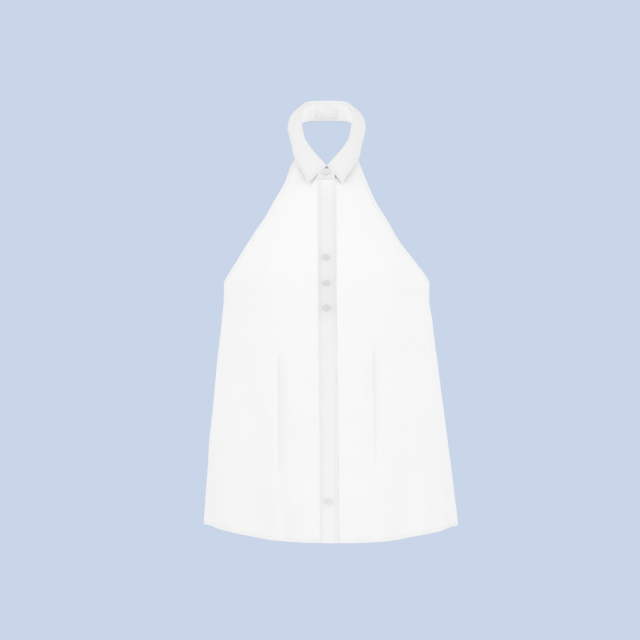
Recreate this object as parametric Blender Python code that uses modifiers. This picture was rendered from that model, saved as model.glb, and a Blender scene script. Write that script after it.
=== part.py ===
"""A sleeveless halter-neck shirt that buttons down the front, filled out and hollow.

Metres, +Z up. The front faces -Y and +X is the viewer's right. The origin is the centre of the
neck, level with the foot of the collar stand at the nape. Sizes are written in millimetres.
Every cloth panel is a wall whose outer face is a loft through the sections below; what lies on
a panel is made from the same points, moved out.
"""

import math
from collections import namedtuple

import bmesh
import bpy
from mathutils import Vector

MM = 0.001
GARMENT = "halter_shirt"

# Cloth and seams
WALL = 1.2
COLLAR_WALL = 1.5
LABEL_WALL = 1.0
SEAM_GAP = 0.4
NECK_GAP = 0.8
LAYER_GAP = 0.3

# Front band, buttons and label
BAND_WIDTH = 29.0
FRONT_EDGE = -8.2
UNDER_BAND_TOP_GAP = 2.0
BUTTON_RADIUS = 4.9
BUTTON_HEIGHT = 2.4
BUTTON_RIM = 1.0
BUTTON_DISH = 0.5
BUTTON_HOLE_RADIUS = 0.65
BUTTON_HOLE_PITCH = 2.3
BUTTON_SHIFT = -1.5
BUTTON_DROPS = (239.0, 281.5, 322.5, 639.5)
STAND_BUTTON_RISE = 0.42
STAND_BUTTON_LIFT = 0.5
LABEL_WIDTH = 38.4
LABEL_HEIGHT = 24.0
LABEL_FOOT = 4.5

# Body levels, measured down from the origin
UNDERARM = 278.0
HEM_TILT = 1.5
BACK_TOP_DIP = 12.0
MEAN_RADIUS = 195.0

# Collar
COLLAR_AXIS = -2.2
STAND_SHARE = 0.9
LEAF_ROLL = 1.9
LEAF_START = 0.15
LEAF_SEAM_GAP = 0.9
STAND_TAB = 0.78
STAND_TUCK_FROM = 17.6
NECK_CORNER = 4.5

# Faces
BODY_ROWS = 19
CHEST_ROWS = 12
CHEST_ROW_EASE = 1.9
FRONT_COLUMNS = 20
DART_COLUMN_LEFT = 1.323
DART_COLUMN_RIGHT = 1.274
BACK_COLUMNS = 34
COLLAR_STEPS = 2
BUTTON_SIDES = 20

# A section through the body at one level: half widths to the viewer's left and right of the
# centre front, depths to front and back, how square the oval is (2 is an ellipse), and how far
# the centre front lies to the right of the origin.
Section = namedtuple("Section", "drop left right front back square centre")
SECTIONS = (
    Section(52, 50.0, 49.4, 43.0, 60, 2.00, -1.7),
    Section(74, 68.0, 62.0, 52.0, 68, 2.00, -1.7),
    Section(108, 87.0, 83.0, 66.5, 76, 2.00, -1.7),
    Section(143, 116.0, 106.0, 81.0, 84, 2.00, -1.7),
    Section(177, 137.0, 128.0, 97.0, 90, 2.05, -1.7),
    Section(211, 159.0, 148.5, 112.0, 94, 2.12, -1.7),
    Section(244, 171.0, 165.0, 122.0, 95, 2.20, -1.7),
    Section(278, 175.5, 173.5, 129.0, 95, 2.26, -1.7),
    Section(310, 176.5, 173.0, 133.0, 95, 2.28, -1.5),
    Section(344, 179.5, 177.5, 136.5, 97, 2.26, -1.2),
    Section(378, 183.5, 181.5, 140.0, 100, 2.22, -0.8),
    Section(446, 191.2, 189.5, 145.0, 110, 2.16, 0.0),
    Section(514, 198.5, 198.0, 150.0, 119, 2.12, 0.8),
    Section(582, 205.3, 206.5, 155.0, 128, 2.08, 1.4),
    Section(650, 210.8, 213.8, 160.0, 138, 2.05, 1.8),
    Section(715, 214.5, 219.5, 165.0, 146, 2.04, 2.0),
)

# How far the armhole edge stands from the centre front at one level, on each side.
Armhole = namedtuple("Armhole", "drop left right")
ARMHOLES = (
    Armhole(52, 49.7, 49.1),
    Armhole(74, 59.0, 53.5),
    Armhole(108, 70.6, 67.3),
    Armhole(143, 89.5, 81.5),
    Armhole(177, 108.5, 102.3),
    Armhole(211, 132.0, 122.5),
    Armhole(244, 151.8, 147.0),
    Armhole(262, 164.2, 161.2),
    Armhole(278, 175.5, 173.5),
)

# The level of the hem, by the turn away from the centre front or the centre back.
Hem = namedtuple("Hem", "turn front back")
HEMS = (
    Hem(0, 708.5, 700.0),
    Hem(25, 707.3, 699.0),
    Hem(40, 704.0, 697.0),
    Hem(50, 699.0, 695.0),
    Hem(60, 693.5, 692.5),
    Hem(75, 689.5, 690.5),
    Hem(90, 690.7, 690.7),
)
SIDE_HEM = HEMS[-1].front

# A soft fold: its turn round the body in degrees where it starts and at the hem (0 is the
# centre front, + is the viewer's right), the levels where it starts, is full and has ended,
# how far it stands out (a trough is negative) and its half width in degrees. The waist dart of
# each front draws the cloth in as such a trough.
Fold = namedtuple("Fold", "turn_top turn_hem start full end depth width")
HEM_RUN = 900.0
DARTS = (
    Fold(-32.8, -28.5, 368, 480, 636, -3.2, 6.0),
    Fold(30.2, 25.8, 356, 465, 616, -2.8, 6.0),
)
FOLDS = DARTS + (
    Fold(-20.0, -19.0, 190, 265, 370, -2.0, 8.0),
    Fold(-27.0, -26.5, 560, 690, HEM_RUN, -3.0, 7.0),
    Fold(-13.0, -13.5, 470, 690, HEM_RUN, 2.6, 7.0),
    Fold(14.0, 13.0, 500, 690, HEM_RUN, 2.0, 7.0),
    Fold(-43.0, -41.0, 430, 690, HEM_RUN, -5.0, 12.0),
    Fold(-62.0, -59.0, 390, 690, HEM_RUN, 6.0, 14.0),
    Fold(-80.0, -79.0, 460, 690, HEM_RUN, -3.5, 11.0),
    Fold(41.0, 43.0, 450, 690, HEM_RUN, -4.2, 12.0),
    Fold(58.0, 60.0, 380, 690, HEM_RUN, 6.8, 15.0),
    Fold(78.0, 79.0, 470, 690, HEM_RUN, -3.5, 10.0),
    Fold(103.0, 101.0, 430, 690, HEM_RUN, 5.0, 14.0),
    Fold(122.0, 124.0, 400, 690, HEM_RUN, -6.0, 13.0),
    Fold(146.0, 144.0, 360, 690, HEM_RUN, 8.0, 15.0),
    Fold(165.0, 167.0, 420, 690, HEM_RUN, -5.0, 12.0),
    Fold(-100.0, -102.0, 450, 690, HEM_RUN, 4.5, 13.0),
    Fold(-120.0, -119.0, 410, 690, HEM_RUN, -6.5, 14.0),
    Fold(-141.0, -143.0, 380, 690, HEM_RUN, 7.0, 14.0),
    Fold(-164.0, -163.0, 400, 690, HEM_RUN, -6.0, 13.0),
    Fold(-182.0, -180.0, 440, 690, HEM_RUN, 6.0, 12.0),
)

# The collar at one place on its half, from the centre front to the nape: the fold line, the
# foot of the stand and the free edge of the leaf, each by its distance out from the axis, back
# and up, and how far the leaf arches between its fold and its edge.
Collar = namedtuple(
    "Collar",
    "fold_out fold_back fold_up foot_out foot_back foot_up edge_out edge_back edge_up arch",
)
COLLAR = (
    Collar(0.0, -46.0, -86.0, 0.0, -66.0, -107.0, 31.0, -74.0, -116.5, 4.5),
    Collar(11.4, -45.5, -74.7, 18.0, -61.5, -105.5, 34.5, -69.0, -108.0, 3.5),
    Collar(23.8, -40.0, -59.4, 36.5, -50.0, -94.5, 40.5, -60.0, -95.0, 2.5),
    Collar(32.7, -28.0, -45.8, 46.0, -35.0, -75.0, 48.0, -46.5, -82.0, 2.0),
    Collar(37.6, -18.0, -35.9, 48.6, -20.0, -61.0, 54.5, -33.5, -69.0, 2.5),
    Collar(41.8, 2.0, -15.6, 50.0, 6.0, -43.0, 59.5, -10.0, -46.0, 3.0),
    Collar(43.7, 20.0, 5.5, 50.5, 28.0, -22.0, 64.5, 18.0, -25.0, 4.5),
    Collar(42.1, 32.0, 18.0, 47.5, 41.0, -9.0, 66.0, 39.0, -11.5, 6.0),
    Collar(36.2, 43.0, 26.8, 40.0, 50.0, -3.0, 55.0, 58.0, -4.5, 5.5),
    Collar(25.9, 50.0, 31.0, 28.0, 55.0, -0.6, 38.5, 65.5, -1.5, 3.5),
    Collar(0.0, 53.0, 32.2, 0.0, 57.0, 0.0, 0.0, 68.0, 0.5, 3.0),
)
NAPE = len(COLLAR) - 1
LEAF_ROLL_STEPS = (0, 60, 120, 180)
LEAF_FALL_STEPS = (0.25, 0.5, 0.75, 1.0)

# Colours, with roughness; no part is metal
COTTON = ((0.93, 0.93, 0.925), 0.85)
COLLAR_COTTON = ((0.90, 0.90, 0.90), 0.85)
LABEL_WEAVE = ((0.90, 0.90, 0.89), 0.7)
BUTTON_RESIN = ((0.80, 0.79, 0.79), 0.3)


def ease(share):
    """Goes from 0 to 1 with level ends."""
    share = min(max(share, 0.0), 1.0)
    return share * share * (3.0 - 2.0 * share)


def mix(low, high, share):
    """The value a share of the way from low to high."""
    return low + (high - low) * share


def table_value(rows, column, at):
    """Reads a column of a table on a smooth curve, where the table's first column is at."""
    at = min(max(at, rows[0][0]), rows[-1][0])
    last = len(rows) - 2
    span = next((i for i in range(last) if at <= rows[i + 1][0]), last)

    def slope(index):
        low, high = max(index - 1, 0), min(index + 1, len(rows) - 1)
        rise = getattr(rows[high], column) - getattr(rows[low], column)
        return rise / (rows[high][0] - rows[low][0])

    length = rows[span + 1][0] - rows[span][0]
    t = (at - rows[span][0]) / length
    start, end = getattr(rows[span], column), getattr(rows[span + 1], column)
    bend = (t ** 3 - 2 * t ** 2 + t) * slope(span) + (t ** 3 - t ** 2) * slope(span + 1)
    return mix(start, end, ease(t)) + bend * length


def section_at(drop):
    """The body's section at a level."""
    values = (table_value(SECTIONS, name, drop) for name in Section._fields[1:])
    return Section(drop, *values)


def fold_height(turn, drop):
    """How far the folds stand out at a place on the body."""
    height = 0.0
    for fold in FOLDS:
        run = min(max((drop - fold.start) / (SIDE_HEM - fold.start), 0.0), 1.0)
        away = turn - mix(fold.turn_top, fold.turn_hem, run)
        away = abs((away + 180.0) % 360.0 - 180.0) / fold.width
        if away >= 1.0:
            continue
        rise = ease((drop - fold.start) / (fold.full - fold.start))
        fall = ease((fold.end - drop) / (0.5 * (fold.end - fold.full)))
        height += fold.depth * rise * fall * math.cos(0.5 * math.pi * away) ** 2
    return height


def body_point(turn, drop):
    """A point of the body's outer face, by its turn in degrees and its level."""
    part = section_at(drop)
    across, ahead = math.sin(math.radians(turn)), math.cos(math.radians(turn))
    width = part.right if across >= 0.0 else part.left
    depth = part.front if ahead >= 0.0 else part.back
    power = part.square
    radius = (abs(ahead / depth) ** power + abs(across / width) ** power) ** (-1.0 / power)
    radius += fold_height(turn, drop)
    return Vector((part.centre + radius * across, -radius * ahead, -drop))


def turn_of(across, drop, side):
    """The turn at which the body's front is a distance across from its centre line."""
    part = section_at(drop)
    width = part.right if side > 0 else part.left
    share = min(across / width, 1.0)
    ahead = part.front * (1.0 - share ** part.square) ** (1.0 / part.square)
    return math.degrees(math.atan2(across, ahead))


def hem_drop(turn):
    """The level of the hem at a turn, a little lower by the viewer's right."""
    away = abs((turn + 180.0) % 360.0 - 180.0)
    level = table_value(HEMS, "front" if away <= 90.0 else "back", min(away, 180.0 - away))
    return level + HEM_TILT * math.sin(math.radians(turn))


def collar_row(index):
    """A row of the collar's table, mirrored past its two ends, and its side."""
    if index < 0:
        return COLLAR[-index], -1
    if index > NAPE:
        return COLLAR[2 * NAPE - index], -1
    return COLLAR[index], 1


def half_value(column, place):
    """Reads a column of the collar's table on a smooth curve, at a place from 0 to the nape."""
    first = min(int(math.floor(place)), NAPE - 1)
    t = place - first
    values = []
    for index in range(first - 1, first + 3):
        row, side = collar_row(index)
        value = getattr(row, column)
        values.append(value * side if column.endswith("_out") else value)
    before, start, end, after = values
    bend = (t ** 3 - 2 * t ** 2 + t) * (end - before) / 2
    bend += (t ** 3 - t ** 2) * (after - start) / 2
    return mix(start, end, ease(t)) + bend


def collar_point(line, place):
    """A point on one of the collar's lines: fold, foot or edge.

    The place runs from the centre front (0) by the viewer's left to the nape, and on by the
    viewer's right to the centre front again (twice the nape), and past both.
    """
    side = -1.0
    if place < 0.0:
        place, side = -place, 1.0
    elif place > 2 * NAPE:
        place -= 2 * NAPE
    elif place > NAPE:
        place, side = 2 * NAPE - place, 1.0
    out = side * half_value(line + "_out", place)
    return Vector((COLLAR_AXIS + out, half_value(line + "_back", place),
                   half_value(line + "_up", place)))


def find(value_at, target, low, high):
    """The place between low and high where a rising value reaches its target."""
    for _ in range(40):
        middle = 0.5 * (low + high)
        if value_at(middle) < target:
            low = middle
        else:
            high = middle
    return 0.5 * (low + high)


def share_of_place(place, side):
    """How far a place on the neckline is from the band to the armhole, as a share of turn."""
    foot = collar_point("foot", place)
    drop = -foot.z
    across = abs(foot.x - COLLAR_AXIS)
    start = turn_of(BAND_WIDTH / 2, drop, side)
    edge = turn_of(table_value(ARMHOLES, "right" if side > 0 else "left", drop), drop, side)
    return (turn_of(across, drop, side) - start) / (edge - start)


def neck_place(column):
    """The place on the neckline where a column of the front starts."""
    if abs(column) <= 1.0:
        reach = abs(column) * BAND_WIDTH / 2
        return find(lambda p: abs(collar_point("foot", p).x - COLLAR_AXIS), reach, 0.0, 2.0)
    side = math.copysign(1, column)
    return find(lambda p: share_of_place(p, side), abs(column) - 1.0, 0.0, NECK_CORNER)


def column_turn(column, drop):
    """The turn of a column of the front at a level.

    A column is numbered from the centre front: up to 1 it is a share of the band's half width,
    and from 1 to 2 it runs on to the armhole's edge or the side seam.
    """
    side = math.copysign(1, column)
    band = turn_of(min(abs(column), 1.0) * BAND_WIDTH / 2, drop, side)
    if abs(column) <= 1.0:
        return side * band
    edge = 90.0
    if drop < UNDERARM:
        reach = table_value(ARMHOLES, "right" if side > 0 else "left", drop)
        edge = turn_of(reach, drop, side)
    return side * mix(band, edge, abs(column) - 1.0)


def front_column(column):
    """The points of one column of the front, from the neckline to the hem."""
    place = neck_place(column)
    if column > 0.0:
        place = 2 * NAPE - place
    foot = collar_point("foot", place)
    down = (foot - collar_point("fold", place)).normalized()
    start = foot + down * NECK_GAP
    shift = start - body_point(column_turn(column, -start.z), -start.z)
    points = []
    for row in range(CHEST_ROWS):
        share = 1.0 - (1.0 - row / CHEST_ROWS) ** CHEST_ROW_EASE
        drop = mix(-start.z, UNDERARM, share)
        point = body_point(column_turn(column, drop), drop)
        points.append(point + shift * (1.0 - share) ** 2)
    for row in range(BODY_ROWS + 1):
        turn = column_turn(column, UNDERARM)
        drop = mix(UNDERARM, hem_drop(turn), row / BODY_ROWS)
        points.append(body_point(column_turn(column, drop), drop))
    return points


def front_grid(columns):
    """Rows of points over some columns of the front, from the viewer's left to right."""
    return [list(row) for row in zip(*(front_column(column) for column in columns))]


def cut_top(grid, distance):
    """The grid with its top edge moved down along its columns."""
    top = [high + (low - high).normalized() * distance for high, low in zip(*grid[:2])]
    return [top] + grid[1:]


def spread(low, high, steps):
    """Evenly spaced values from low to high, both included."""
    return [mix(low, high, step / steps) for step in range(steps + 1)]


def moved_out(grid, distance):
    """The grid moved out along its own normals."""
    rows, columns = len(grid), len(grid[0])
    moved = []
    for r in range(rows):
        line = []
        for c in range(columns):
            down = grid[min(r + 1, rows - 1)][c] - grid[max(r - 1, 0)][c]
            along = grid[r][min(c + 1, columns - 1)] - grid[r][max(c - 1, 0)]
            line.append(grid[r][c] + down.cross(along).normalized() * distance)
        moved.append(line)
    return moved


def make_material(name, finish):
    """A plain material from a colour and a roughness."""
    colour, roughness = finish
    material = bpy.data.materials.new(name)
    material.use_nodes = True
    shader = material.node_tree.nodes["Principled BSDF"]
    shader.inputs["Base Color"].default_value = (*colour, 1.0)
    shader.inputs["Roughness"].default_value = roughness
    shader.inputs["Metallic"].default_value = 0.0
    return material


def add_object(name, mesh, collection, finish):
    """Puts a mesh in the scene as a named part with its own material."""
    part = bpy.data.objects.new(name, mesh)
    collection.objects.link(part)
    mesh.shade_smooth()
    if not mesh.materials:
        mesh.materials.append(make_material(name, finish))
    return part


def make_wall(name, grid, collection, finish, wall=WALL, offset=-1.0):
    """A cloth wall: the grid's surface, made thick inwards or to both sides."""
    form = bmesh.new()
    verts = [[form.verts.new(point * MM) for point in row] for row in grid]
    for upper, lower in zip(verts, verts[1:]):
        for c in range(len(upper) - 1):
            form.faces.new((upper[c], lower[c], lower[c + 1], upper[c + 1]))
    mesh = bpy.data.meshes.new(name)
    form.to_mesh(mesh)
    form.free()
    part = add_object(name, mesh, collection, finish)
    solidify = part.modifiers.new("wall", "SOLIDIFY")
    solidify.thickness = wall * MM
    solidify.offset = offset
    solidify.use_even_offset = True
    return part


def make_fronts(collection):
    """The two fronts, which meet under the top band."""
    inner = FRONT_EDGE / (BAND_WIDTH / 2)
    seam = SEAM_GAP / 2 / (BAND_WIDTH / 2)
    side = 2.0 - SEAM_GAP / 2 / MEAN_RADIUS / (math.pi / 2)
    even = spread(1.0, side, FRONT_COLUMNS)
    left_columns = [-column for column in sorted(even + [DART_COLUMN_LEFT], reverse=True)]
    left_columns.append(inner - seam)
    right_columns = [inner + seam, 0.0, 0.5] + sorted(even + [DART_COLUMN_RIGHT])
    make_wall("front_right", front_grid(left_columns), collection, COTTON)
    make_wall("front_left", front_grid(right_columns), collection, COTTON)


def make_bands(collection):
    """The band with the buttonholes over the fronts, and the button band under them."""
    inner = FRONT_EDGE / (BAND_WIDTH / 2)
    columns = (-1.0, inner, 0.0, 0.5, 1.0)
    grid = front_grid(columns)
    make_wall("placket_top", moved_out(grid, LAYER_GAP + WALL), collection, COTTON)
    under = cut_top(moved_out(grid, -LAYER_GAP - WALL), UNDER_BAND_TOP_GAP)
    make_wall("placket_under", under, collection, COTTON)


def make_back(collection):
    """The back, from side seam to side seam, with a top edge that dips a little."""
    seam = math.degrees(SEAM_GAP / 2 / MEAN_RADIUS)
    grid = []
    for row in range(BODY_ROWS + 1):
        line = []
        for turn in spread(90.0 + seam, 270.0 - seam, BACK_COLUMNS):
            top = UNDERARM + BACK_TOP_DIP * math.cos(math.radians(turn)) ** 2
            line.append(body_point(turn, mix(top, hem_drop(turn), row / BODY_ROWS)))
        grid.append(line)
    make_wall("back", grid, collection, COTTON)


def stand_point(place, share):
    """A point of the stand's middle surface, a share of the way from its foot to the fold."""
    foot, fold = collar_point("foot", place), collar_point("fold", place)
    ahead, behind = collar_point("foot", place + 0.05), collar_point("foot", place - 0.05)
    inward = (ahead - behind).cross(fold - foot).normalized()
    tuck = ease((place - STAND_TUCK_FROM) / (2 * NAPE - STAND_TAB - STAND_TUCK_FROM))
    return foot.lerp(fold, share) + inward * tuck * (COLLAR_WALL + LAYER_GAP)


def make_stand(collection):
    """The band round the neck, whose end by the viewer's right laps over the other."""
    steps = round(2 * (NAPE + STAND_TAB) * COLLAR_STEPS)
    places = spread(2 * NAPE + STAND_TAB, -STAND_TAB, steps)
    shares = [STAND_SHARE * (1.0 - row / 3) for row in range(4)]
    grid = [[stand_point(place, share) for place in places] for share in shares]
    make_wall("collar_stand", grid, collection, COLLAR_COTTON, COLLAR_WALL, 0.0)


def leaf_column(place):
    """The leaf at one place: up from the stand, over the fold and down to the free edge."""
    foot, fold = collar_point("foot", place), collar_point("fold", place)
    ahead, behind = collar_point("fold", place - 0.05), collar_point("fold", place + 0.05)
    up = (fold - foot).normalized()
    out = (-up).cross(ahead - behind).normalized()
    points = [foot.lerp(fold, STAND_SHARE) + up * LEAF_SEAM_GAP]
    for angle in LEAF_ROLL_STEPS:
        bend = math.radians(angle)
        over = out * (1.0 - math.cos(bend)) + up * math.sin(bend)
        points.append(fold + over * LEAF_ROLL)
    start, edge = points[-1], collar_point("edge", place)
    half = place if place <= NAPE else 2 * NAPE - place
    arch = half_value("arch", half)
    swell = (ahead - behind).cross(edge - start).normalized() * -arch
    for share in LEAF_FALL_STEPS:
        points.append(start.lerp(edge, share) + swell * math.sin(math.pi * share))
    return points


def make_leaf(collection):
    """The folded leaf of the collar, from one front point to the other."""
    steps = 2 * NAPE * COLLAR_STEPS
    places = spread(2 * NAPE - LEAF_START, LEAF_START, steps)
    grid = [list(row) for row in zip(*(leaf_column(place) for place in places))]
    make_wall("collar_leaf", grid, collection, COLLAR_COTTON, COLLAR_WALL, 0.0)


def make_label(collection):
    """A small bare label inside the stand at the nape."""
    half = find(lambda p: abs(collar_point("foot", NAPE - p).x - COLLAR_AXIS),
                LABEL_WIDTH / 2, 0.0, 2.0)
    height = (collar_point("fold", NAPE) - collar_point("foot", NAPE)).length
    low, high = LABEL_FOOT / height, (LABEL_FOOT + LABEL_HEIGHT) / height
    places = spread(NAPE + half, NAPE - half, 6)
    grid = [[stand_point(place, share) for place in places] for share in spread(high, low, 2)]
    face = moved_out(grid, -COLLAR_WALL / 2 - LAYER_GAP)
    make_wall("neck_label", face, collection, LABEL_WEAVE, LABEL_WALL)


def make_button_mesh(collection, cutters):
    """A four-hole button, turned about Z with its back at the origin."""
    outline = (
        (0.0, BUTTON_HEIGHT - BUTTON_DISH),
        (BUTTON_RADIUS - 2 * BUTTON_RIM, BUTTON_HEIGHT - BUTTON_DISH),
        (BUTTON_RADIUS - BUTTON_RIM, BUTTON_HEIGHT),
        (BUTTON_RADIUS - 0.4 * BUTTON_RIM, BUTTON_HEIGHT),
        (BUTTON_RADIUS, BUTTON_HEIGHT - 0.5 * BUTTON_RIM),
        (BUTTON_RADIUS, 0.6 * BUTTON_RIM),
        (BUTTON_RADIUS - BUTTON_RIM, 0.0),
        (0.0, 0.0),
    )
    profile = bmesh.new()
    points = [profile.verts.new((x * MM, 0.0, z * MM)) for x, z in outline]
    for start, end in zip(points, points[1:]):
        profile.edges.new((start, end))
    mesh = bpy.data.meshes.new("button_profile")
    profile.to_mesh(mesh)
    profile.free()
    turned = bpy.data.objects.new("button_turning", mesh)
    cutters.objects.link(turned)
    turned.hide_render = True
    turned.display_type = "WIRE"
    screw = turned.modifiers.new("turn", "SCREW")
    screw.steps = screw.render_steps = BUTTON_SIDES
    screw.use_merge_vertices = True
    screw.merge_threshold = 0.00005

    holes = bmesh.new()
    for x in (-0.5, 0.5):
        for y in (-0.5, 0.5):
            made = bmesh.ops.create_cone(
                holes, cap_ends=True, segments=8, radius1=BUTTON_HOLE_RADIUS * MM,
                radius2=BUTTON_HOLE_RADIUS * MM, depth=3 * BUTTON_HEIGHT * MM)
            place = Vector((x, y, 0.0)) * BUTTON_HOLE_PITCH * MM
            bmesh.ops.translate(holes, verts=made["verts"], vec=place)
    hole_mesh = bpy.data.meshes.new("button_holes")
    holes.to_mesh(hole_mesh)
    holes.free()
    cutter = bpy.data.objects.new("button_holes", hole_mesh)
    cutters.objects.link(cutter)
    cutter.hide_render = True
    cutter.display_type = "WIRE"
    cut = turned.modifiers.new("holes", "BOOLEAN")
    cut.object = cutter
    cut.operation = "DIFFERENCE"
    bpy.context.view_layer.update()
    whole = turned.evaluated_get(bpy.context.evaluated_depsgraph_get())
    button = bpy.data.meshes.new_from_object(whole)
    button.name = "button"
    button.materials.clear()
    button.materials.append(make_material("button", BUTTON_RESIN))
    return button


def place_button(name, mesh, seat, outward, collection):
    """Seats a button on a face, with its rim up along the face's normal."""
    button = add_object(name, mesh, collection, BUTTON_RESIN)
    button.location = (seat + outward * LAYER_GAP) * MM
    button.rotation_mode = "QUATERNION"
    button.rotation_quaternion = outward.to_track_quat("Z", "Y")


def make_buttons(collection, cutters):
    """One button on the stand, three on the chest and one near the hem."""
    mesh = make_button_mesh(collection, cutters)
    tab = -BUTTON_SHIFT / COLLAR[1].foot_out
    low, high = stand_point(tab, 0.0), stand_point(tab, STAND_SHARE)
    along = stand_point(tab - 0.05, 0.0) - stand_point(tab + 0.05, 0.0)
    outward = (low - high).cross(along).normalized()
    seat = stand_point(tab, STAND_BUTTON_RISE)
    seat += outward * (COLLAR_WALL / 2 + STAND_BUTTON_LIFT)
    place_button("button_stand", mesh, seat, outward, collection)
    for number, drop in enumerate(BUTTON_DROPS, 1):
        turn = -turn_of(-BUTTON_SHIFT, drop, -1)
        middle = body_point(turn, drop)
        down = body_point(turn, drop + 5.0) - body_point(turn, drop - 5.0)
        along = body_point(turn + 2.0, drop) - body_point(turn - 2.0, drop)
        outward = down.cross(along).normalized()
        seat = middle + outward * (LAYER_GAP + WALL)
        place_button(f"button_{number}", mesh, seat, outward, collection)


def clear_scene():
    """Removes what the start-up scene holds."""
    for item in list(bpy.data.objects):
        bpy.data.objects.remove(item, do_unlink=True)


def main():
    """Builds the shirt."""
    clear_scene()
    garment = bpy.data.collections.new(GARMENT)
    cutters = bpy.data.collections.new("cutters")
    bpy.context.scene.collection.children.link(garment)
    bpy.context.scene.collection.children.link(cutters)
    make_fronts(garment)
    make_bands(garment)
    make_back(garment)
    make_stand(garment)
    make_leaf(garment)
    make_label(garment)
    make_buttons(garment, cutters)


main()
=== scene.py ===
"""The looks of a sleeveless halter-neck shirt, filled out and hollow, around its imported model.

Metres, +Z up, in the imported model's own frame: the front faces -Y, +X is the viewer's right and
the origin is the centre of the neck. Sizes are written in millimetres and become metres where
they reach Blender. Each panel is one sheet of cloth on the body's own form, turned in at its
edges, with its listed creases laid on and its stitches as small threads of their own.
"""

import logging
import math
from dataclasses import dataclass
from enum import Enum
from typing import Any, NamedTuple

import bmesh
import bpy
import numpy as np
from mathutils import Matrix, Vector


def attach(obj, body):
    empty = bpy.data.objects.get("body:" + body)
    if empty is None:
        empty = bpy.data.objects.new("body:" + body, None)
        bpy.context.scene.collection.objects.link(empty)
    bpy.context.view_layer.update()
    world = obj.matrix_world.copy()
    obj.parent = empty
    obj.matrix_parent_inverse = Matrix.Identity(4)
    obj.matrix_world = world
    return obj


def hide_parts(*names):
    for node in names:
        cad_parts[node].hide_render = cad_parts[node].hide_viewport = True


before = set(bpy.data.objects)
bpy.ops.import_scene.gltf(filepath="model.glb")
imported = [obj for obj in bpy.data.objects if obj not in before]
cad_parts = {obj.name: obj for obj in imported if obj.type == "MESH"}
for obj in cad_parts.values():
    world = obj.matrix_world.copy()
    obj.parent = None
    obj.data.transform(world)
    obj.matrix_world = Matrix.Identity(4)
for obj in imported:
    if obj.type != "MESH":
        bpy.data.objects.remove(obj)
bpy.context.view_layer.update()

MM = 0.001
BODY = "root"
LOG = logging.getLogger("shirt")
Array = np.ndarray
# How far into a hem its stitches run, as a share of the hem's depth
STITCH_SHARE = 0.84


class Side(Enum):
    """A side of the shirt as the viewer sees it, with the sign of its X."""

    LEFT = -1
    RIGHT = 1


class Edge(Enum):
    """An edge of a sheet, whose rows run from the top down."""

    LEFT = "first column"
    RIGHT = "last column"
    TOP = "first row"
    FOOT = "last row"


class Section(NamedTuple):
    """A section through the body at one level."""

    drop: float
    left: float
    right: float
    front: float
    back: float
    square: float
    centre: float


class Armhole(NamedTuple):
    """How far the armhole's edge stands from the centre front at one level."""

    drop: float
    left: float
    right: float


class Hem(NamedTuple):
    """The hem's level at a turn from the centre front or the centre back."""

    turn: float
    front: float
    back: float


class Fold(NamedTuple):
    """A broad soft fold that runs down the body, by its turn in degrees and its levels."""

    turn_top: float
    turn_hem: float
    start: float
    full: float
    end: float
    depth: float
    width: float


class Crease(NamedTuple):
    """A small crease between two places on the body, each a turn in degrees and a level."""

    turn_a: float
    drop_a: float
    turn_b: float
    drop_b: float
    bow: float
    height: float
    width: float


class Dart(NamedTuple):
    """A sewn waist dart of a front, by its place across and the levels of its two points.

    The cloth pillows up beside its line, is nipped in at it and lies deeper past it. Past its
    line a painted shade darkens the cloth's colour, at most as wide as its last field.
    """

    across: float
    top: float
    foot: float
    pillow: float
    nip: float
    depth: float
    reach: float
    shade_past: float

    def place(self, drop: Array) -> Array:
        """How far down the dart levels lie, from 0 at its top or above to 1 at its foot."""
        return np.clip((drop - self.top) / (self.foot - self.top), 0.0, 1.0)


class CollarRow(NamedTuple):
    """The collar's fold line, foot and free edge at one place of its half, and its arch."""

    fold_out: float
    fold_back: float
    fold_up: float
    foot_out: float
    foot_back: float
    foot_up: float
    edge_out: float
    edge_back: float
    edge_up: float
    arch: float


SECTIONS = (
    Section(52, 50.0, 49.4, 43.0, 60, 2.00, -1.7),
    Section(74, 68.0, 62.0, 52.0, 68, 2.00, -1.7),
    Section(108, 87.0, 83.0, 66.5, 76, 2.00, -1.7),
    Section(143, 116.0, 106.0, 81.0, 84, 2.00, -1.7),
    Section(177, 137.0, 128.0, 97.0, 90, 2.05, -1.7),
    Section(211, 159.0, 148.5, 112.0, 94, 2.12, -1.7),
    Section(244, 171.0, 165.0, 122.0, 95, 2.20, -1.7),
    Section(278, 175.5, 173.5, 129.0, 95, 2.26, -1.7),
    Section(310, 176.5, 173.0, 133.0, 95, 2.28, -1.5),
    Section(344, 179.5, 177.5, 136.5, 97, 2.26, -1.2),
    Section(378, 183.5, 181.5, 140.0, 100, 2.22, -0.8),
    Section(446, 191.2, 189.5, 145.0, 110, 2.16, 0.0),
    Section(514, 198.5, 198.0, 150.0, 119, 2.12, 0.8),
    Section(582, 205.3, 206.5, 155.0, 128, 2.08, 1.4),
    Section(650, 210.8, 213.8, 160.0, 138, 2.05, 1.8),
    Section(715, 214.5, 219.5, 165.0, 146, 2.04, 2.0),
)
ARMHOLES = (
    Armhole(52, 49.7, 49.1),
    Armhole(74, 59.0, 53.5),
    Armhole(108, 70.6, 67.3),
    Armhole(143, 89.5, 81.5),
    Armhole(177, 108.5, 102.3),
    Armhole(211, 132.0, 122.5),
    Armhole(244, 151.8, 147.0),
    Armhole(262, 164.2, 161.2),
    Armhole(278, 175.5, 173.5),
)
HEMS = (
    Hem(0, 708.5, 700.0),
    Hem(25, 707.3, 699.0),
    Hem(40, 704.0, 697.0),
    Hem(50, 699.0, 695.0),
    Hem(60, 693.5, 692.5),
    Hem(75, 689.5, 690.5),
    Hem(90, 690.7, 690.7),
)
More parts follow.
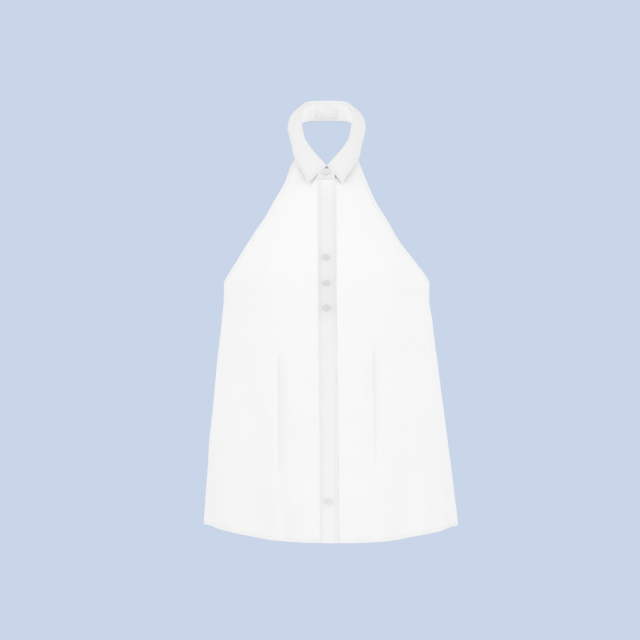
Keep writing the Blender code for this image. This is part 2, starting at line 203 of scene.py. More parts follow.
# A level past the hem, where the folds that run off it end
HEM_RUN = 900.0
FOLDS = (
    Fold(-32.8, -28.5, 368, 480, 636, -3.2, 6.0),
    Fold(30.2, 25.8, 356, 465, 616, -2.8, 6.0),
    Fold(-20.0, -19.0, 190, 265, 370, -2.0, 8.0),
    Fold(-27.0, -26.5, 560, 690, HEM_RUN, -3.0, 7.0),
    Fold(-13.0, -13.5, 470, 690, HEM_RUN, 2.6, 7.0),
    Fold(14.0, 13.0, 500, 690, HEM_RUN, 2.0, 7.0),
    Fold(-43.0, -41.0, 430, 690, HEM_RUN, -5.0, 12.0),
    Fold(-62.0, -59.0, 390, 690, HEM_RUN, 6.0, 14.0),
    Fold(-80.0, -79.0, 460, 690, HEM_RUN, -3.5, 11.0),
    Fold(41.0, 43.0, 450, 690, HEM_RUN, -4.2, 12.0),
    Fold(58.0, 60.0, 380, 690, HEM_RUN, 6.8, 15.0),
    Fold(78.0, 79.0, 470, 690, HEM_RUN, -3.5, 10.0),
    Fold(103.0, 101.0, 430, 690, HEM_RUN, 5.0, 14.0),
    Fold(122.0, 124.0, 400, 690, HEM_RUN, -6.0, 13.0),
    Fold(146.0, 144.0, 360, 690, HEM_RUN, 8.0, 15.0),
    Fold(165.0, 167.0, 420, 690, HEM_RUN, -5.0, 12.0),
    Fold(-100.0, -102.0, 450, 690, HEM_RUN, 4.5, 13.0),
    Fold(-120.0, -119.0, 410, 690, HEM_RUN, -6.5, 14.0),
    Fold(-141.0, -143.0, 380, 690, HEM_RUN, 7.0, 14.0),
    Fold(-164.0, -163.0, 400, 690, HEM_RUN, -6.0, 13.0),
    Fold(-182.0, -180.0, 440, 690, HEM_RUN, 6.0, 12.0),
)
CREASES = (
    # Soft lines that leave the darts' points
    Crease(-34.0, 330, -32.5, 392, 1.0, -0.6, 5.0),
    Crease(31.5, 322, 30.0, 376, -1.0, -0.5, 5.0),
    Crease(-29.0, 602, -27.5, 690, 1.5, -0.9, 6.0),
    Crease(27.0, 588, 25.5, 668, -1.2, -0.6, 5.0),
    # Drag lines from the collar down to the bust
    Crease(-24.0, 112, -27.0, 235, 2.0, -0.35, 7.0),
    Crease(-41.0, 92, -43.0, 225, -3.0, 0.35, 8.0),
    Crease(25.0, 115, 26.0, 220, -2.0, -0.3, 7.0),
    Crease(43.0, 90, 45.0, 230, 3.0, 0.3, 8.0),
    # Pulls from the armholes towards the bust
    Crease(-62.0, 214, -40.0, 268, 3.0, -0.9, 6.0),
    Crease(-72.0, 250, -50.0, 300, 4.0, 0.8, 6.5),
    Crease(64.0, 222, 43.0, 276, -3.0, -0.8, 6.0),
    Crease(73.0, 254, 54.0, 310, -4.0, 0.7, 6.5),
    Crease(-86.0, 292, -64.0, 344, 4.0, -1.0, 7.0),
    Crease(87.0, 296, 66.0, 338, -4.0, -1.0, 7.0),
    Crease(-88.0, 318, -70.0, 392, 5.0, 0.8, 8.0),
    Crease(88.0, 322, 72.0, 388, -5.0, 0.9, 8.0),
    # Small puckers beside the placket at the buttons
    Crease(-7.4, 238, -15.0, 243, 1.0, 0.45, 3.0),
    Crease(-7.4, 246, -13.0, 255, 0.5, -0.4, 3.0),
    Crease(-7.2, 281, -17.0, 279, -1.0, -0.5, 3.4),
    Crease(-7.2, 323, -14.0, 329, 1.0, 0.4, 3.2),
    Crease(7.4, 240, 14.0, 236, 1.0, -0.4, 3.0),
    Crease(7.2, 283, 16.0, 288, -0.8, 0.5, 3.2),
    Crease(7.2, 324, 13.0, 320, 0.8, -0.4, 3.0),
    Crease(-6.4, 638, -12.0, 633, 1.0, 0.5, 3.2),
    Crease(6.4, 641, 13.0, 647, -1.0, 0.5, 3.4),
    # Slack lines across the front below the bust
    Crease(-58.0, 402, -37.0, 418, -3.0, 0.6, 6.0),
    Crease(-52.0, 505, -36.0, 512, 2.0, -0.5, 6.0),
    Crease(38.0, 436, 60.0, 424, -3.0, 0.6, 6.5),
    Crease(36.0, 520, 55.0, 528, 3.0, -0.5, 6.5),
    # The back: gathers below its top edge, slack across the waist and soft lines to the hem
    Crease(108.0, 292, 118.0, 402, 5.0, -1.2, 8.0),
    Crease(131.0, 296, 138.0, 372, -4.0, 1.0, 7.0),
    Crease(158.0, 298, 153.0, 396, 4.0, -1.1, 7.0),
    Crease(178.0, 300, 181.0, 362, 2.0, 0.9, 6.0),
    Crease(-161.0, 298, -155.0, 388, -4.0, -1.0, 7.0),
    Crease(-134.0, 296, -139.0, 380, 4.0, 1.1, 7.5),
    Crease(-110.0, 293, -121.0, 398, -5.0, -1.2, 8.0),
    Crease(112.0, 452, 140.0, 436, 6.0, 0.8, 8.0),
    Crease(-150.0, 470, -117.0, 452, -6.0, 0.8, 8.0),
    Crease(150.0, 556, 176.0, 540, 5.0, -0.8, 8.0),
    Crease(131.0, 560, 135.0, 690, 2.0, -1.0, 7.0),
    Crease(-130.0, 540, -131.0, 686, -2.0, -1.1, 7.0),
    Crease(176.0, 585, 173.0, 694, 2.0, 0.9, 6.0),
)
# How far a degree of turn runs on the body, for the creases' lengths and widths
DEGREE_RUN = 3.0
# The last column is how far past each dart's line its painted shade runs at most
DARTS = (
    Dart(-82.4, 389, 608, 0.9, 1.2, 1.2, 5.0, 24.0),
    Dart(75.6, 372, 592, 0.5, 0.9, 0.8, 3.5, 13.0),
)

COLLAR = (
    CollarRow(0.0, -46.0, -86.0, 0.0, -66.0, -107.0, 33.0, -69.5, -116.5, 2.4),
    CollarRow(11.4, -45.5, -74.7, 18.0, -61.5, -105.5, 34.5, -64.5, -108.0, 2.2),
    CollarRow(23.8, -40.0, -59.4, 36.5, -50.0, -94.5, 40.5, -57.0, -95.0, 2.0),
    CollarRow(32.7, -28.0, -45.8, 46.0, -35.0, -75.0, 48.0, -46.5, -82.0, 2.0),
    CollarRow(37.6, -18.0, -35.9, 48.6, -20.0, -61.0, 54.5, -33.5, -69.0, 2.5),
    CollarRow(41.8, 2.0, -15.6, 50.0, 6.0, -43.0, 59.5, -10.0, -46.0, 3.0),
    CollarRow(43.7, 20.0, 5.5, 50.5, 28.0, -22.0, 64.5, 18.0, -25.0, 4.5),
    CollarRow(42.1, 32.0, 18.0, 47.5, 41.0, -9.0, 66.0, 39.0, -11.5, 6.0),
    CollarRow(36.2, 43.0, 26.8, 40.0, 50.0, -3.0, 55.0, 58.0, -4.5, 5.5),
    CollarRow(25.9, 50.0, 31.0, 28.0, 55.0, -0.6, 38.5, 65.5, -1.5, 3.5),
    CollarRow(0.0, 53.0, 32.2, 0.0, 57.0, 0.0, 0.0, 68.0, 0.5, 3.0),
)
NAPE = len(COLLAR) - 1


def ease(share: Array | float) -> Array:
    """Goes from 0 to 1 with level ends."""
    share = np.clip(share, 0.0, 1.0)
    return share * share * (3.0 - 2.0 * share)


def mix(low: Any, high: Any, share: Any) -> Any:
    """The value a share of the way from low to high."""
    return low + (high - low) * share


def unit(vectors: Array) -> Array:
    """The vectors at length one."""
    return vectors / np.linalg.norm(vectors, axis=-1, keepdims=True)


def half_turned(turn: Array) -> Array:
    """Turns in degrees, from -180 to 180."""
    return (turn + 180.0) % 360.0 - 180.0


def from_front(place: Array) -> Array:
    """How far places round the neck lie from the centre front, on either half."""
    return np.minimum(np.abs(place), np.abs(2 * NAPE - place))


def slope_bend(share: Array, start: Array, end: Array) -> Array:
    """How far its slopes bend a smooth curve away from the eased way between two values.

    Args:
        share: The share of the way.
        start: The slope at the start.
        end: The slope at the end.

    Returns:
        The distances.
    """
    return (share ** 3 - 2 * share ** 2 + share) * start + (share ** 3 - share ** 2) * end


def find(value_at: Any, target: Array, low: float, high: float) -> Array:
    """Finds where a rising value reaches its target.

    Args:
        value_at: The rising function of a place.
        target: The values to reach.
        low: The lowest place.
        high: The highest place.

    Returns:
        The places, one for each target.
    """
    lows, highs = np.full_like(target, low), np.full_like(target, high)
    for _ in range(32):
        middle = 0.5 * (lows + highs)
        below = value_at(middle) < target
        lows, highs = np.where(below, middle, lows), np.where(below, highs, middle)
    return 0.5 * (lows + highs)


@dataclass(frozen=True)
class SmoothTable:
    """A size table whose columns are read on smooth curves."""

    rows: tuple[Any, ...]

    def read(self, column: str, at: Array) -> Array:
        """Reads one column.

        Args:
            column: The column's name.
            at: Values of the table's first column.

        Returns:
            The column's values there.
        """
        knots = np.array([row[0] for row in self.rows], dtype=float)
        values = np.array([getattr(row, column) for row in self.rows], dtype=float)
        last = len(knots) - 1
        low, high = np.maximum(np.arange(-1, last), 0), np.minimum(np.arange(1, last + 2), last)
        slopes = (values[high] - values[low]) / (knots[high] - knots[low])
        at = np.clip(at, knots[0], knots[-1])
        span = np.clip(np.searchsorted(knots, at) - 1, 0, last - 1)
        length = knots[span + 1] - knots[span]
        share = (at - knots[span]) / length
        bend = slope_bend(share, slopes[span], slopes[span + 1])
        return mix(values[span], values[span + 1], ease(share)) + bend * length

    def sided(self, side: Array, at: Array) -> Array:
        """Reads the right column where a side is positive, and the left one elsewhere."""
        return np.where(side > 0, self.read("right", at), self.read("left", at))


@dataclass(frozen=True)
class CollarForm:
    """The surfaces of the stand and the folded leaf, by a place round the neck.

    A place runs from the centre front (0) by the viewer's left to the nape, and on by the
    viewer's right to the centre front again (twice the nape), and past both.
    """

    rows: tuple[CollarRow, ...] = COLLAR
    axis: float = -2.2
    layer: float = 1.8
    tab: float = 0.78
    tuck_from: float = 17.6
    roll: float = 1.9
    lean: float = 6.0
    lean_reach: float = 3.0
    fullness: float = 2.2
    full_reach: float = 1.2
    step: float = 0.05

    def half(self, column: str, place: Array) -> Array:
        """Reads a column of the table at places of one half.

        Args:
            column: The column's name.
            place: Places from the centre front (0) to the nape, or a little past both.

        Returns:
            The column's values there.
        """
        index = np.arange(-1, NAPE + 2)
        inside = np.where(index > NAPE, 2 * NAPE - index, np.abs(index))
        values = np.array([getattr(self.rows[i], column) for i in inside], dtype=float)
        if column.endswith("_out"):
            values *= np.where((index < 0) | (index > NAPE), -1.0, 1.0)
        if column.startswith("edge"):
            values[0] = 2.0 * values[1] - values[2]
        first = np.clip(np.floor(place).astype(int), 0, NAPE - 1)
        share = place - first
        before, start, end, after = (values[first + step] for step in range(4))
        bend = slope_bend(share, (end - before) / 2, (after - start) / 2)
        return mix(start, end, ease(share)) + bend

    def point(self, line: str, place: Array) -> Array:
        """Points on the collar's fold, foot or edge line.

        Args:
            line: The line's name.
            place: Places round the neck.

        Returns:
            The points, in millimetres.
        """
        place = np.asarray(place, dtype=float)
        half = np.abs(place)
        half = np.where(half > 2 * NAPE, half - 2 * NAPE,
                        np.where(half > NAPE, 2 * NAPE - half, half))
        side = np.where((place < 0) | ((place > NAPE) & (place <= 2 * NAPE)), 1.0, -1.0)
        out = side * self.half(line + "_out", half)
        return np.stack([self.axis + out, self.half(line + "_back", half),
                         self.half(line + "_up", half)], axis=-1)

    def stand(self, place: Array, share: Array) -> Array:
        """Points of the stand's middle surface, a share of the way from its foot to the fold.

        Args:
            place: Places round the neck.
            share: The share of the way for each of them.

        Returns:
            The points, in millimetres.
        """
        foot, fold = self.point("foot", place), self.point("fold", place)
        along = self.point("foot", place + self.step) - self.point("foot", place - self.step)
        inward = unit(np.cross(along, fold - foot))
        tuck = ease((place - self.tuck_from) / (2 * NAPE - self.tab - self.tuck_from))
        full = self.fullness * np.exp(-(from_front(place) / self.full_reach) ** 2)
        full = full * np.sin(np.pi * share)
        return mix(foot, fold, share[..., None]) + inward * (tuck * self.layer - full)[..., None]

    def leaf_frame(self, place: Array) -> tuple[Array, Array, Array, Array]:
        """The fold line, and the ways up, out and along at it.

        Args:
            place: Places round the neck.

        Returns:
            Points of the fold line, and the three ways.
        """
        foot, fold = self.point("foot", place), self.point("fold", place)
        along = self.point("fold", place - self.step) - self.point("fold", place + self.step)
        up = unit(fold - foot)
        return fold, up, unit(np.cross(-up, along)), along

    def leaf_roll(self, place: Array, angle: Array) -> Array:
        """Points where the leaf rolls over the fold line, by the angle turned in degrees.

        Args:
            place: Places round the neck.
            angle: The angle turned at each of them.

        Returns:
            The points, in millimetres.
        """
        fold, up, out, _ = self.leaf_frame(place)
        bend = np.radians(angle)[..., None]
        return fold + (out * (1.0 - np.cos(bend)) + up * np.sin(bend)) * self.roll

    def leaf_fall(self, place: Array, share: Array) -> Array:
        """Points of the leaf from the roll down to its free edge.

        Args:
            place: Places round the neck.
            share: The share of the way down for each of them.

        Returns:
            The points, in millimetres.
        """
        along = self.leaf_frame(place)[3]
        start, edge = self.leaf_roll(place, np.full_like(place, 180.0)), self.point("edge", place)
        edge[..., 0] -= self.lean * ease(
            (place - 2 * NAPE + self.lean_reach) / self.lean_reach)
        half = np.where(place > NAPE, 2 * NAPE - place, place)
        swell = -unit(np.cross(along, edge - start)) * self.half("arch", half)[..., None]
        share = share[..., None]
        return mix(start, edge, share) + swell * np.sin(np.pi * share)


@dataclass(frozen=True)
class BodyForm:
    """The body's surface, by a turn in degrees from the centre front and a level."""

    sections: SmoothTable = SmoothTable(SECTIONS)
    armholes: SmoothTable = SmoothTable(ARMHOLES)
    hems: SmoothTable = SmoothTable(HEMS)
    collar: CollarForm = CollarForm()
    band: float = 14.5
    underarm: float = 278.0
    hem_tilt: float = 1.5
    neck_gap: float = 0.8
    neck_corner: float = 4.5
    crease_end: float = 0.35
    dart_before: float = 8.0
    dart_past: float = 24.0
    nip_width: float = 1.1
    # How the painted shade beside the darts runs: its soft part past the line and its dark seam
    # line
    shade_before: float = 1.2
    shade_blur: float = 1.4
    shade_strengths: tuple[float, float] = (0.75, 0.45)
    shade_least: float = 0.01
    shade_fade: float = 1.4
    shade_taper: float = 7.0
    seam_shade: float = 0.75
    seam_width: float = 1.3
    ripple: float = 0.16
    ripple_count: int = 14
    ripple_seed: int = 11
    ripple_lengths: tuple[float, float] = (34.0, 90.0)
    ripple_spread: tuple[float, float, float] = (1.0, 1.0, 0.45)
    ripple_from: float = 4.0
    ripple_over: float = 6.0

    def folds_at(self, turn: Array, drop: Array) -> Array:
        """How far the broad folds stand out.

        Args:
            turn: Turns in degrees.
            drop: Levels, in millimetres below the origin.

        Returns:
            The heights, in millimetres.
        """
        height = np.zeros_like(drop)
        for fold in FOLDS:
            run = np.clip((drop - fold.start) / (HEMS[-1].front - fold.start), 0.0, 1.0)
            away = turn - mix(fold.turn_top, fold.turn_hem, run)
            away = np.abs(half_turned(away)) / fold.width
            rise = ease((drop - fold.start) / (fold.full - fold.start))
            fall = ease((fold.end - drop) / (0.5 * (fold.end - fold.full)))
            shape = np.where(away < 1.0, np.cos(0.5 * np.pi * np.minimum(away, 1.0)) ** 2, 0.0)
            height += fold.depth * rise * fall * shape
        return height

    def creases_at(self, turn: Array, drop: Array) -> Array:
        """How far the small creases stand out.

        Args:
            turn: Turns in degrees.
            drop: Levels, in millimetres below the origin.

        Returns:
            The heights, in millimetres.
        """
        height = np.zeros_like(drop)
        for crease in CREASES:
            start = np.array([crease.turn_a * DEGREE_RUN, crease.drop_a])
            end = np.array([crease.turn_b * DEGREE_RUN, crease.drop_b])
            length = np.linalg.norm(end - start)
            way = (end - start) / length
            across = half_turned(turn - crease.turn_a)
            from_a = np.stack([across * DEGREE_RUN, drop - crease.drop_a], axis=-1)
            share = from_a @ way / length
            aside = from_a @ np.array([-way[1], way[0]])
            aside -= crease.bow * 4.0 * share * (1.0 - share)
            taper = ease(share / self.crease_end) * ease((1.0 - share) / self.crease_end)
            height += crease.height * taper * np.exp(-(aside / crease.width) ** 2)
        return height

    def darts_at(self, across: Array, drop: Array) -> Array:
        """How far the cloth stands out by the darts, whose fold pillows up on its outer side.

        Args:
            across: Distances across from the centre front.
            drop: Levels, in millimetres below the origin.

        Returns:
            The heights, in millimetres.
        """
        height = np.zeros_like(drop)
        for dart in DARTS:
            past = across - dart.across
            taper = np.sqrt(np.sin(np.pi * dart.place(drop)))
            over = np.maximum(past, 0.0)
            rise = np.where(past < 0.0, np.exp(-(past / self.dart_before) ** 2),
                            np.exp(-over / dart.reach))
            fall = (1.0 - np.exp(-over / dart.reach)) * np.exp(-(over / self.dart_past) ** 2)
            height += taper * (dart.pillow * rise - dart.depth * fall
                               - dart.nip * np.exp(-(past / self.nip_width) ** 2))
        return height

    def doubled_at(self, points: Array) -> Array:
        """Painted shade beside each dart: a dark line along its seam and a soft shade past it.

        Args:
            points: Points of the cloth, in millimetres.

        Returns:
            How deep the painted shade is at each, from 0 to about 1.
        """
        drop = -points[..., 2]
        across = points[..., 0] - self.sections.read("centre", drop)
        share = np.zeros_like(drop)
        for dart in DARTS:
            # Painted shade: soft past the dart's line and dark along its seam
            past = across - dart.across
            place = dart.place(drop)
            wide = dart.shade_past * np.sin(np.pi * place) ** 0.5 + self.shade_least
            fade = np.clip(1.0 - past / wide, 0.0, 1.0) ** self.shade_fade
            fade = fade * mix(*self.shade_strengths, place)
            shade_past = ease((past + self.shade_before) / self.shade_blur) * fade
            seam = self.seam_shade * np.exp(-(past / self.seam_width) ** 2)
            share += (shade_past + seam) * ease(self.shade_taper * np.minimum(place, 1.0 - place))
        return share

    def ripples_at(self, points: Array) -> Array:
        """The slight unevenness of cloth that hangs free, from a few waves in space.

        Args:
            points: Points of the cloth, in millimetres.

        Returns:
            The heights, in millimetres.
        """
        draw = np.random.default_rng(self.ripple_seed)
        height = np.zeros(points.shape[:-1])
        for _ in range(self.ripple_count):
            way = unit(draw.normal(size=3) * self.ripple_spread)
            length, phase = draw.uniform(*self.ripple_lengths), draw.uniform(0.0, 2.0 * np.pi)
            height += np.sin(points @ way * (2.0 * np.pi / length) + phase)
        return height * self.ripple

    def point(self, turn: Array, drop: Array) -> Array:
        """Points of the body's outer face, in millimetres.

        Args:
            turn: Turns in degrees.
            drop: Levels, in millimetres below the origin.

        Returns:
            The points.
        """
        part = {name: self.sections.read(name, drop) for name in Section._fields[1:]}
        across, ahead = np.sin(np.radians(turn)), np.cos(np.radians(turn))
        width = np.where(across >= 0.0, part["right"], part["left"])
        depth = np.where(ahead >= 0.0, part["front"], part["back"])
        power = part["square"]
        oval = np.abs(ahead / depth) ** power + np.abs(across / width) ** power
        radius = oval ** (-1.0 / power)
        plain = np.stack([radius * across, -radius * ahead, -drop], axis=-1)
        radius += self.folds_at(turn, drop) + self.creases_at(turn, drop)
        radius += self.darts_at(plain[..., 0], drop)
        away = (np.abs(turn) - self.ripple_from) / self.ripple_over
        radius += self.ripples_at(plain) * ease(away)
        return np.stack([part["centre"] + radius * across, -radius * ahead, -drop], axis=-1)

    def turn_of(self, across: Array, drop: Array, side: Array) -> Array:
        """The turn at which the front is a distance across from its centre line.

        Args:
            across: Distances across.
            drop: Levels, in millimetres below the origin.
            side: 1 for the viewer's right, or -1.

        Returns:
            Turns in degrees, without a sign.
        """
        width = self.sections.sided(side, drop)
        power = self.sections.read("square", drop)
        share = np.minimum(across / width, 1.0)
        ahead = self.sections.read("front", drop) * (1.0 - share ** power) ** (1.0 / power)
        return np.degrees(np.arctan2(across, ahead))

    def armhole_reach(self, drop: Array, side: Array) -> Array:
        """How far the armhole's edge stands from the centre front."""
        return self.armholes.sided(side, drop)

    def hem_drop(self, turn: Array) -> Array:
        """The hem's level at a turn.

        Args:
            turn: Turns in degrees.

        Returns:
            Levels, in millimetres below the origin.
        """
        away = np.abs(half_turned(turn))
        level = np.where(away <= 90.0, self.hems.read("front", np.minimum(away, 90.0)),
                         self.hems.read("back", np.minimum(180.0 - away, 90.0)))
        return level + self.hem_tilt * np.sin(np.radians(turn))

    def column_turn(self, column: Array, drop: Array) -> Array:
        """The turn of a column of the front.

        Args:
            column: From the centre front to 1 a share of the band's half width, and from 1 to 2
                on to the armhole's edge or the side seam. The viewer's left is negative.
            drop: Levels.

        Returns:
            Turns in degrees.
        """
        side, size = np.where(column > 0, 1.0, -1.0), np.abs(column)
        band = self.turn_of(np.minimum(size, 1.0) * self.band, drop, side)
        edge = self.turn_of(self.armhole_reach(drop, side), drop, side)
        edge = np.where(drop < self.underarm, edge, 90.0)
        return side * np.where(size <= 1.0, band, mix(band, edge, size - 1.0))

    def neck_place(self, column: Array) -> Array:
        """The place on the neckline where a column of the front starts.

        Args:
            column: Columns, as column_turn has them.

        Returns:
            Places round the neck, of either half.
        """
        side, size = np.where(column > 0, 1.0, -1.0), np.abs(column)

        def out(place: Array) -> Array:
            """How far a place lies from the centre front."""
            return np.abs(self.collar.point("foot", place)[..., 0] - self.collar.axis)

        def share(place: Array) -> Array:
            """How far a place lies on from the band's edge to the armhole's.

            Args:
                place: A place round the neck.

            Returns:
                Its share of the way.
            """
            drop = -self.collar.point("foot", place)[..., 2]
            start = self.turn_of(np.full_like(drop, self.band), drop, side)
            edge = self.turn_of(self.armhole_reach(drop, side), drop, side)
            return (self.turn_of(out(place), drop, side) - start) / (edge - start)

        near = find(out, np.minimum(size, 1.0) * self.band, 0.0, 2.0)
        far = find(share, np.maximum(size - 1.0, 0.0), 0.0, self.neck_corner)
        return np.where(size <= 1.0, near, far)

    def front(self, column: Array, level: Array, tuck: float = 0.0) -> Array:
        """Points of a front.

        Args:
            column: Columns, as column_turn has them.
            level: From 0 at the neckline to 1 at the underarm and 2 at the hem.
            tuck: How far the neckline runs up into the stand.

        Returns:
            The points, in millimetres.
        """
        place = self.neck_place(column)
        place = np.where(column > 0, 2 * NAPE - place, place)
        foot, fold = self.collar.point("foot", place), self.collar.point("fold", place)
        start = foot + unit(foot - fold) * (self.neck_gap - tuck)
        top = -start[..., 2]
        shift = start - self.point(self.column_turn(column, top), top)
        share = np.clip(level, 0.0, 1.0)
        low = self.hem_drop(self.column_turn(column, np.full_like(top, self.underarm)))
        drop = np.where(level < 1.0, mix(top, self.underarm, share),
                        mix(self.underarm, low, np.maximum(level - 1.0, 0.0)))
        points = self.point(self.column_turn(column, drop), drop)
        return points + shift * ((1.0 - share) ** 2)[..., None]


FORM = BodyForm()
# The angles of a turned edge's roll, and the shares of its depth where its inner rows lie
ROLL_ANGLES = (180.0, 135.0, 90.0, 45.0)
TURNING_SHARES = (1.0, 0.66, 0.33)
# The most of a line's length that the fine steps at its end take
FINE_SHARE = 0.4


@dataclass
class ClothGrid:
    """A sheet of cloth as rows of points from its top down, each from left to right."""

    points: Array
    normals: Array
    edge: Array
    layers: Array
    # How much painted shade each point's colour takes; below 0 it is painted light
    doubled: Array | None = None
    edge_far: float = 3.0

    @classmethod
    def over(cls, points: Array) -> "ClothGrid":
        """Makes a sheet from its points alone.

        Args:
            points: The points, in millimetres.

        Returns:
            The sheet, with the outward normals of its surface.
        """
        down, along = np.gradient(points, axis=0), np.gradient(points, axis=1)
        plain = np.zeros(points.shape[:2])
        return cls(points, unit(np.cross(down, along)), plain + cls.edge_far, plain.astype(int))

    def _facing(self, edge: Edge, values: Array) -> Array:
        """Turns values so that the edge is their first column.

        Args:
            edge: The edge.
            values: Values in rows and columns.

        Returns:
            The turned values.
        """
        if edge in (Edge.TOP, Edge.FOOT):
            values = values.swapaxes(0, 1)
        return values[:, ::-1] if edge in (Edge.RIGHT, Edge.FOOT) else values

    def _back(self, edge: Edge, values: Array) -> Array:
        """Undoes _facing."""
        values = values[:, ::-1] if edge in (Edge.RIGHT, Edge.FOOT) else values
        return values.swapaxes(0, 1) if edge in (Edge.TOP, Edge.FOOT) else values

    def _inside(self, edge: Edge, distance: float | Array) -> tuple[Array, Array]:
        """Points and normals a distance in from an edge, one for each line that meets it.

        Args:
            edge: The edge.
            distance: The distance, or one for each line.

        Returns:
            The points and the normals.
        """
        points, normals = self._facing(edge, self.points), self._facing(edge, self.normals)
        arcs = row_arcs(points)
        wanted = np.broadcast_to(distance, arcs.shape[:1])
        both = np.concatenate([points, normals], axis=2)
        read = np.array([read_line(at, arc, line) for at, arc, line in zip(wanted, arcs, both)])
        return read[:, :3], unit(read[:, 3:])

    def moved_out(self, distance: float | Array) -> "ClothGrid":
        """The sheet moved along its normals."""
        shift = np.broadcast_to(distance, self.edge.shape)[..., None]
        return ClothGrid(self.points + self.normals * shift, self.normals, self.edge, self.layers)

    def line(self, edge: Edge, distance: float, start: float = 0.0,
             end: float = 1.0) -> tuple[Array, Array]:
        """A line for stitches a distance in from an edge, over a share of its length.

        Args:
            edge: The edge.
            distance: How far in from it the line lies.
            start: The share of the edge's length where it starts.
            end: The share where it ends.

        Returns:
            The line's points and normals.
        """
        points, normals = self._inside(edge, distance)
        count = len(points) - 1
        chosen = slice(round(start * count), round(end * count) + 1)
        return points[chosen], normals[chosen]

    def turned(self, edge: Edge, width: float, radius: float,
               banded: bool = True) -> "ClothGrid":
        """Turns an edge to the inside, as a hem or an allowance.

        Args:
            edge: The edge.
            width: How deep the turning is.
            radius: The radius of its roll.
            banded: Whether the turning shows on the outside as a hem.

        Returns:
            The sheet with its turning.
        """
        points, normals, share, layers = (
            self._facing(edge, each)
            for each in (self.points, self.normals, self.edge, self.layers))
        inward = unit(points[:, 1] - points[:, 0])
        out = normals[:, 0]
        centre = points[:, 0] + (inward - out) * radius
        first = centre + out * radius
        rolls = [(centre + (out * math.cos(a) - inward * math.sin(a)) * radius,
                  out * math.cos(a) - inward * math.sin(a))
                 for a in np.radians(ROLL_ANGLES)]
        strips, depths = [], []
        for distance in (*(part * width for part in TURNING_SHARES), 3 * radius):
            strip, way = self._inside(edge, distance)
            strips.append((strip - way * 2 * radius, -way))
            depths.append(distance / width)
        shaped = strips + rolls + [(first, out)]
        columns, ways = (np.stack([each[k] for each in shaped], axis=1) for k in (0, 1))
        added = np.repeat(layers[:, :1] + 1, len(shaped) - 1, axis=1)
        inner = np.full(added.shape, self.edge_far)
        if banded:
            inner = np.minimum(depths + [0.0] * len(rolls), inner)
            share = np.minimum(share, row_arcs(points) / width)
        return ClothGrid(
            self._back(edge, np.concatenate([columns, points[:, 1:]], axis=1)),
            self._back(edge, np.concatenate([ways, normals[:, 1:]], axis=1)),
            self._back(edge, np.concatenate([inner, share], axis=1)),
            self._back(edge, np.concatenate([added, layers], axis=1)))

    def flat(self, held_at: Edge) -> tuple[Array, Array]:
        """How far each point lies along and down the sheet as it was cut, in metres.

        Args:
            held_at: The side edge along which the cloth's grain runs.

        Returns:
            The distances along and down.
        """
        across, down = row_arcs(self.points), row_arcs(self.points.swapaxes(0, 1)).T
        if held_at is Edge.RIGHT:
            across = across - across[:, -1:]
        return across * MM, -down * MM

    def mesh(self, name: str, held_at: Edge) -> bpy.types.Mesh:
        """Makes the sheet's mesh, with its flat layout as UV and what marks it as attributes.

        Args:
            name: The mesh's name.
            held_at: The side edge along which the cloth's grain runs.

        Returns:
            The mesh, one face thick.
        """
        rows, columns = self.layers.shape
        form = bmesh.new()
        bmesh.ops.create_grid(form, x_segments=columns - 1, y_segments=rows - 1, size=0.5)
        form.verts.ensure_lookup_table()
        at = np.array([vert.co[:2] for vert in form.verts])
        column = np.rint((at[:, 0] + 0.5) * (columns - 1)).astype(int)
        row = np.rint((0.5 - at[:, 1]) * (rows - 1)).astype(int)
        places = self.points[row, column] * MM
        for vert, place in zip(form.verts, places):
            vert.co = place
        layers = self.layers[row, column]
        double = [face for face in form.faces if max(layers[v.index] for v in face.verts) > 1]
        across, down = (value[row, column] for value in self.flat(held_at))
        marks = {"edge": self.edge}
        # The painted shade and light go to the mesh as an attribute of their own
        if self.doubled is not None:
            marks["doubled"] = self.doubled
        for mark, values in marks.items():
            layer = form.verts.layers.float.new(mark)
            for vert, value in zip(form.verts, values[row, column]):
                vert[layer] = value
        sheet = form.loops.layers.uv.new("cloth")
        for face in form.faces:
            for loop in face.loops:
                index = loop.vert.index
                loop[sheet].uv = (across[index], down[index])
        if double:
            bmesh.ops.delete(form, geom=double, context="FACES")
        for rim in form.edges:
            rim.smooth = not rim.is_boundary
        mesh = mesh_of(form, name)
        mesh.shade_smooth()
        return mesh


def row_arcs(points: Array) -> Array:
    """How far along its row each point lies, in the points' own unit."""
    steps = np.linalg.norm(np.diff(points, axis=1), axis=2)
    return np.concatenate([np.zeros((len(points), 1)), np.cumsum(steps, axis=1)], axis=1)


def read_line(at: Array | float, arcs: Array, line: Array) -> Array:
    """A line's points, or whatever runs along it in columns, at some lengths."""
    return np.stack([np.interp(at, arcs, column) for column in line.T], axis=-1)


def graded(length: Array, count: int, fine: tuple[float, ...], both: bool = False) -> Array:
    """Distances along lines, even but for fine steps at their far ends.

    Args:
        length: The lines' lengths.
        count: How many even steps there are.
        fine: Distances of the fine steps from the end, falling to 0.
        both: Whether the near ends have fine steps too.

    Returns:
        The distances, a row for each line.
    """
    length = np.asarray(length, dtype=float)[:, None]
    ends = np.minimum(np.array(fine), length * FINE_SHARE)
    even = mix(ends[:, :1] if both else 0.0 * length, length - ends[:, :1],
               np.linspace(0.0, 1.0, count + 1)[None, :])
    parts = [even, length - ends[:, 1:]]
    return np.concatenate([ends[:, :0:-1]] * both + parts, axis=1)


def resampled(values: Array, arcs: Array, wanted: Array) -> Array:
    """A row's values where it reaches wanted lengths, row by row."""
    return np.array([np.interp(at, arc, value) for at, arc, value in zip(wanted, arcs, values)])


def mesh_of(form: bmesh.types.BMesh, name: str) -> bpy.types.Mesh:
    """Makes a form a mesh.

    Args:
        form: The form, which is freed.
        name: The mesh's name.

    Returns:
        The mesh.
    """
    mesh = bpy.data.meshes.new(name)
    form.to_mesh(mesh)
    form.free()
    return mesh


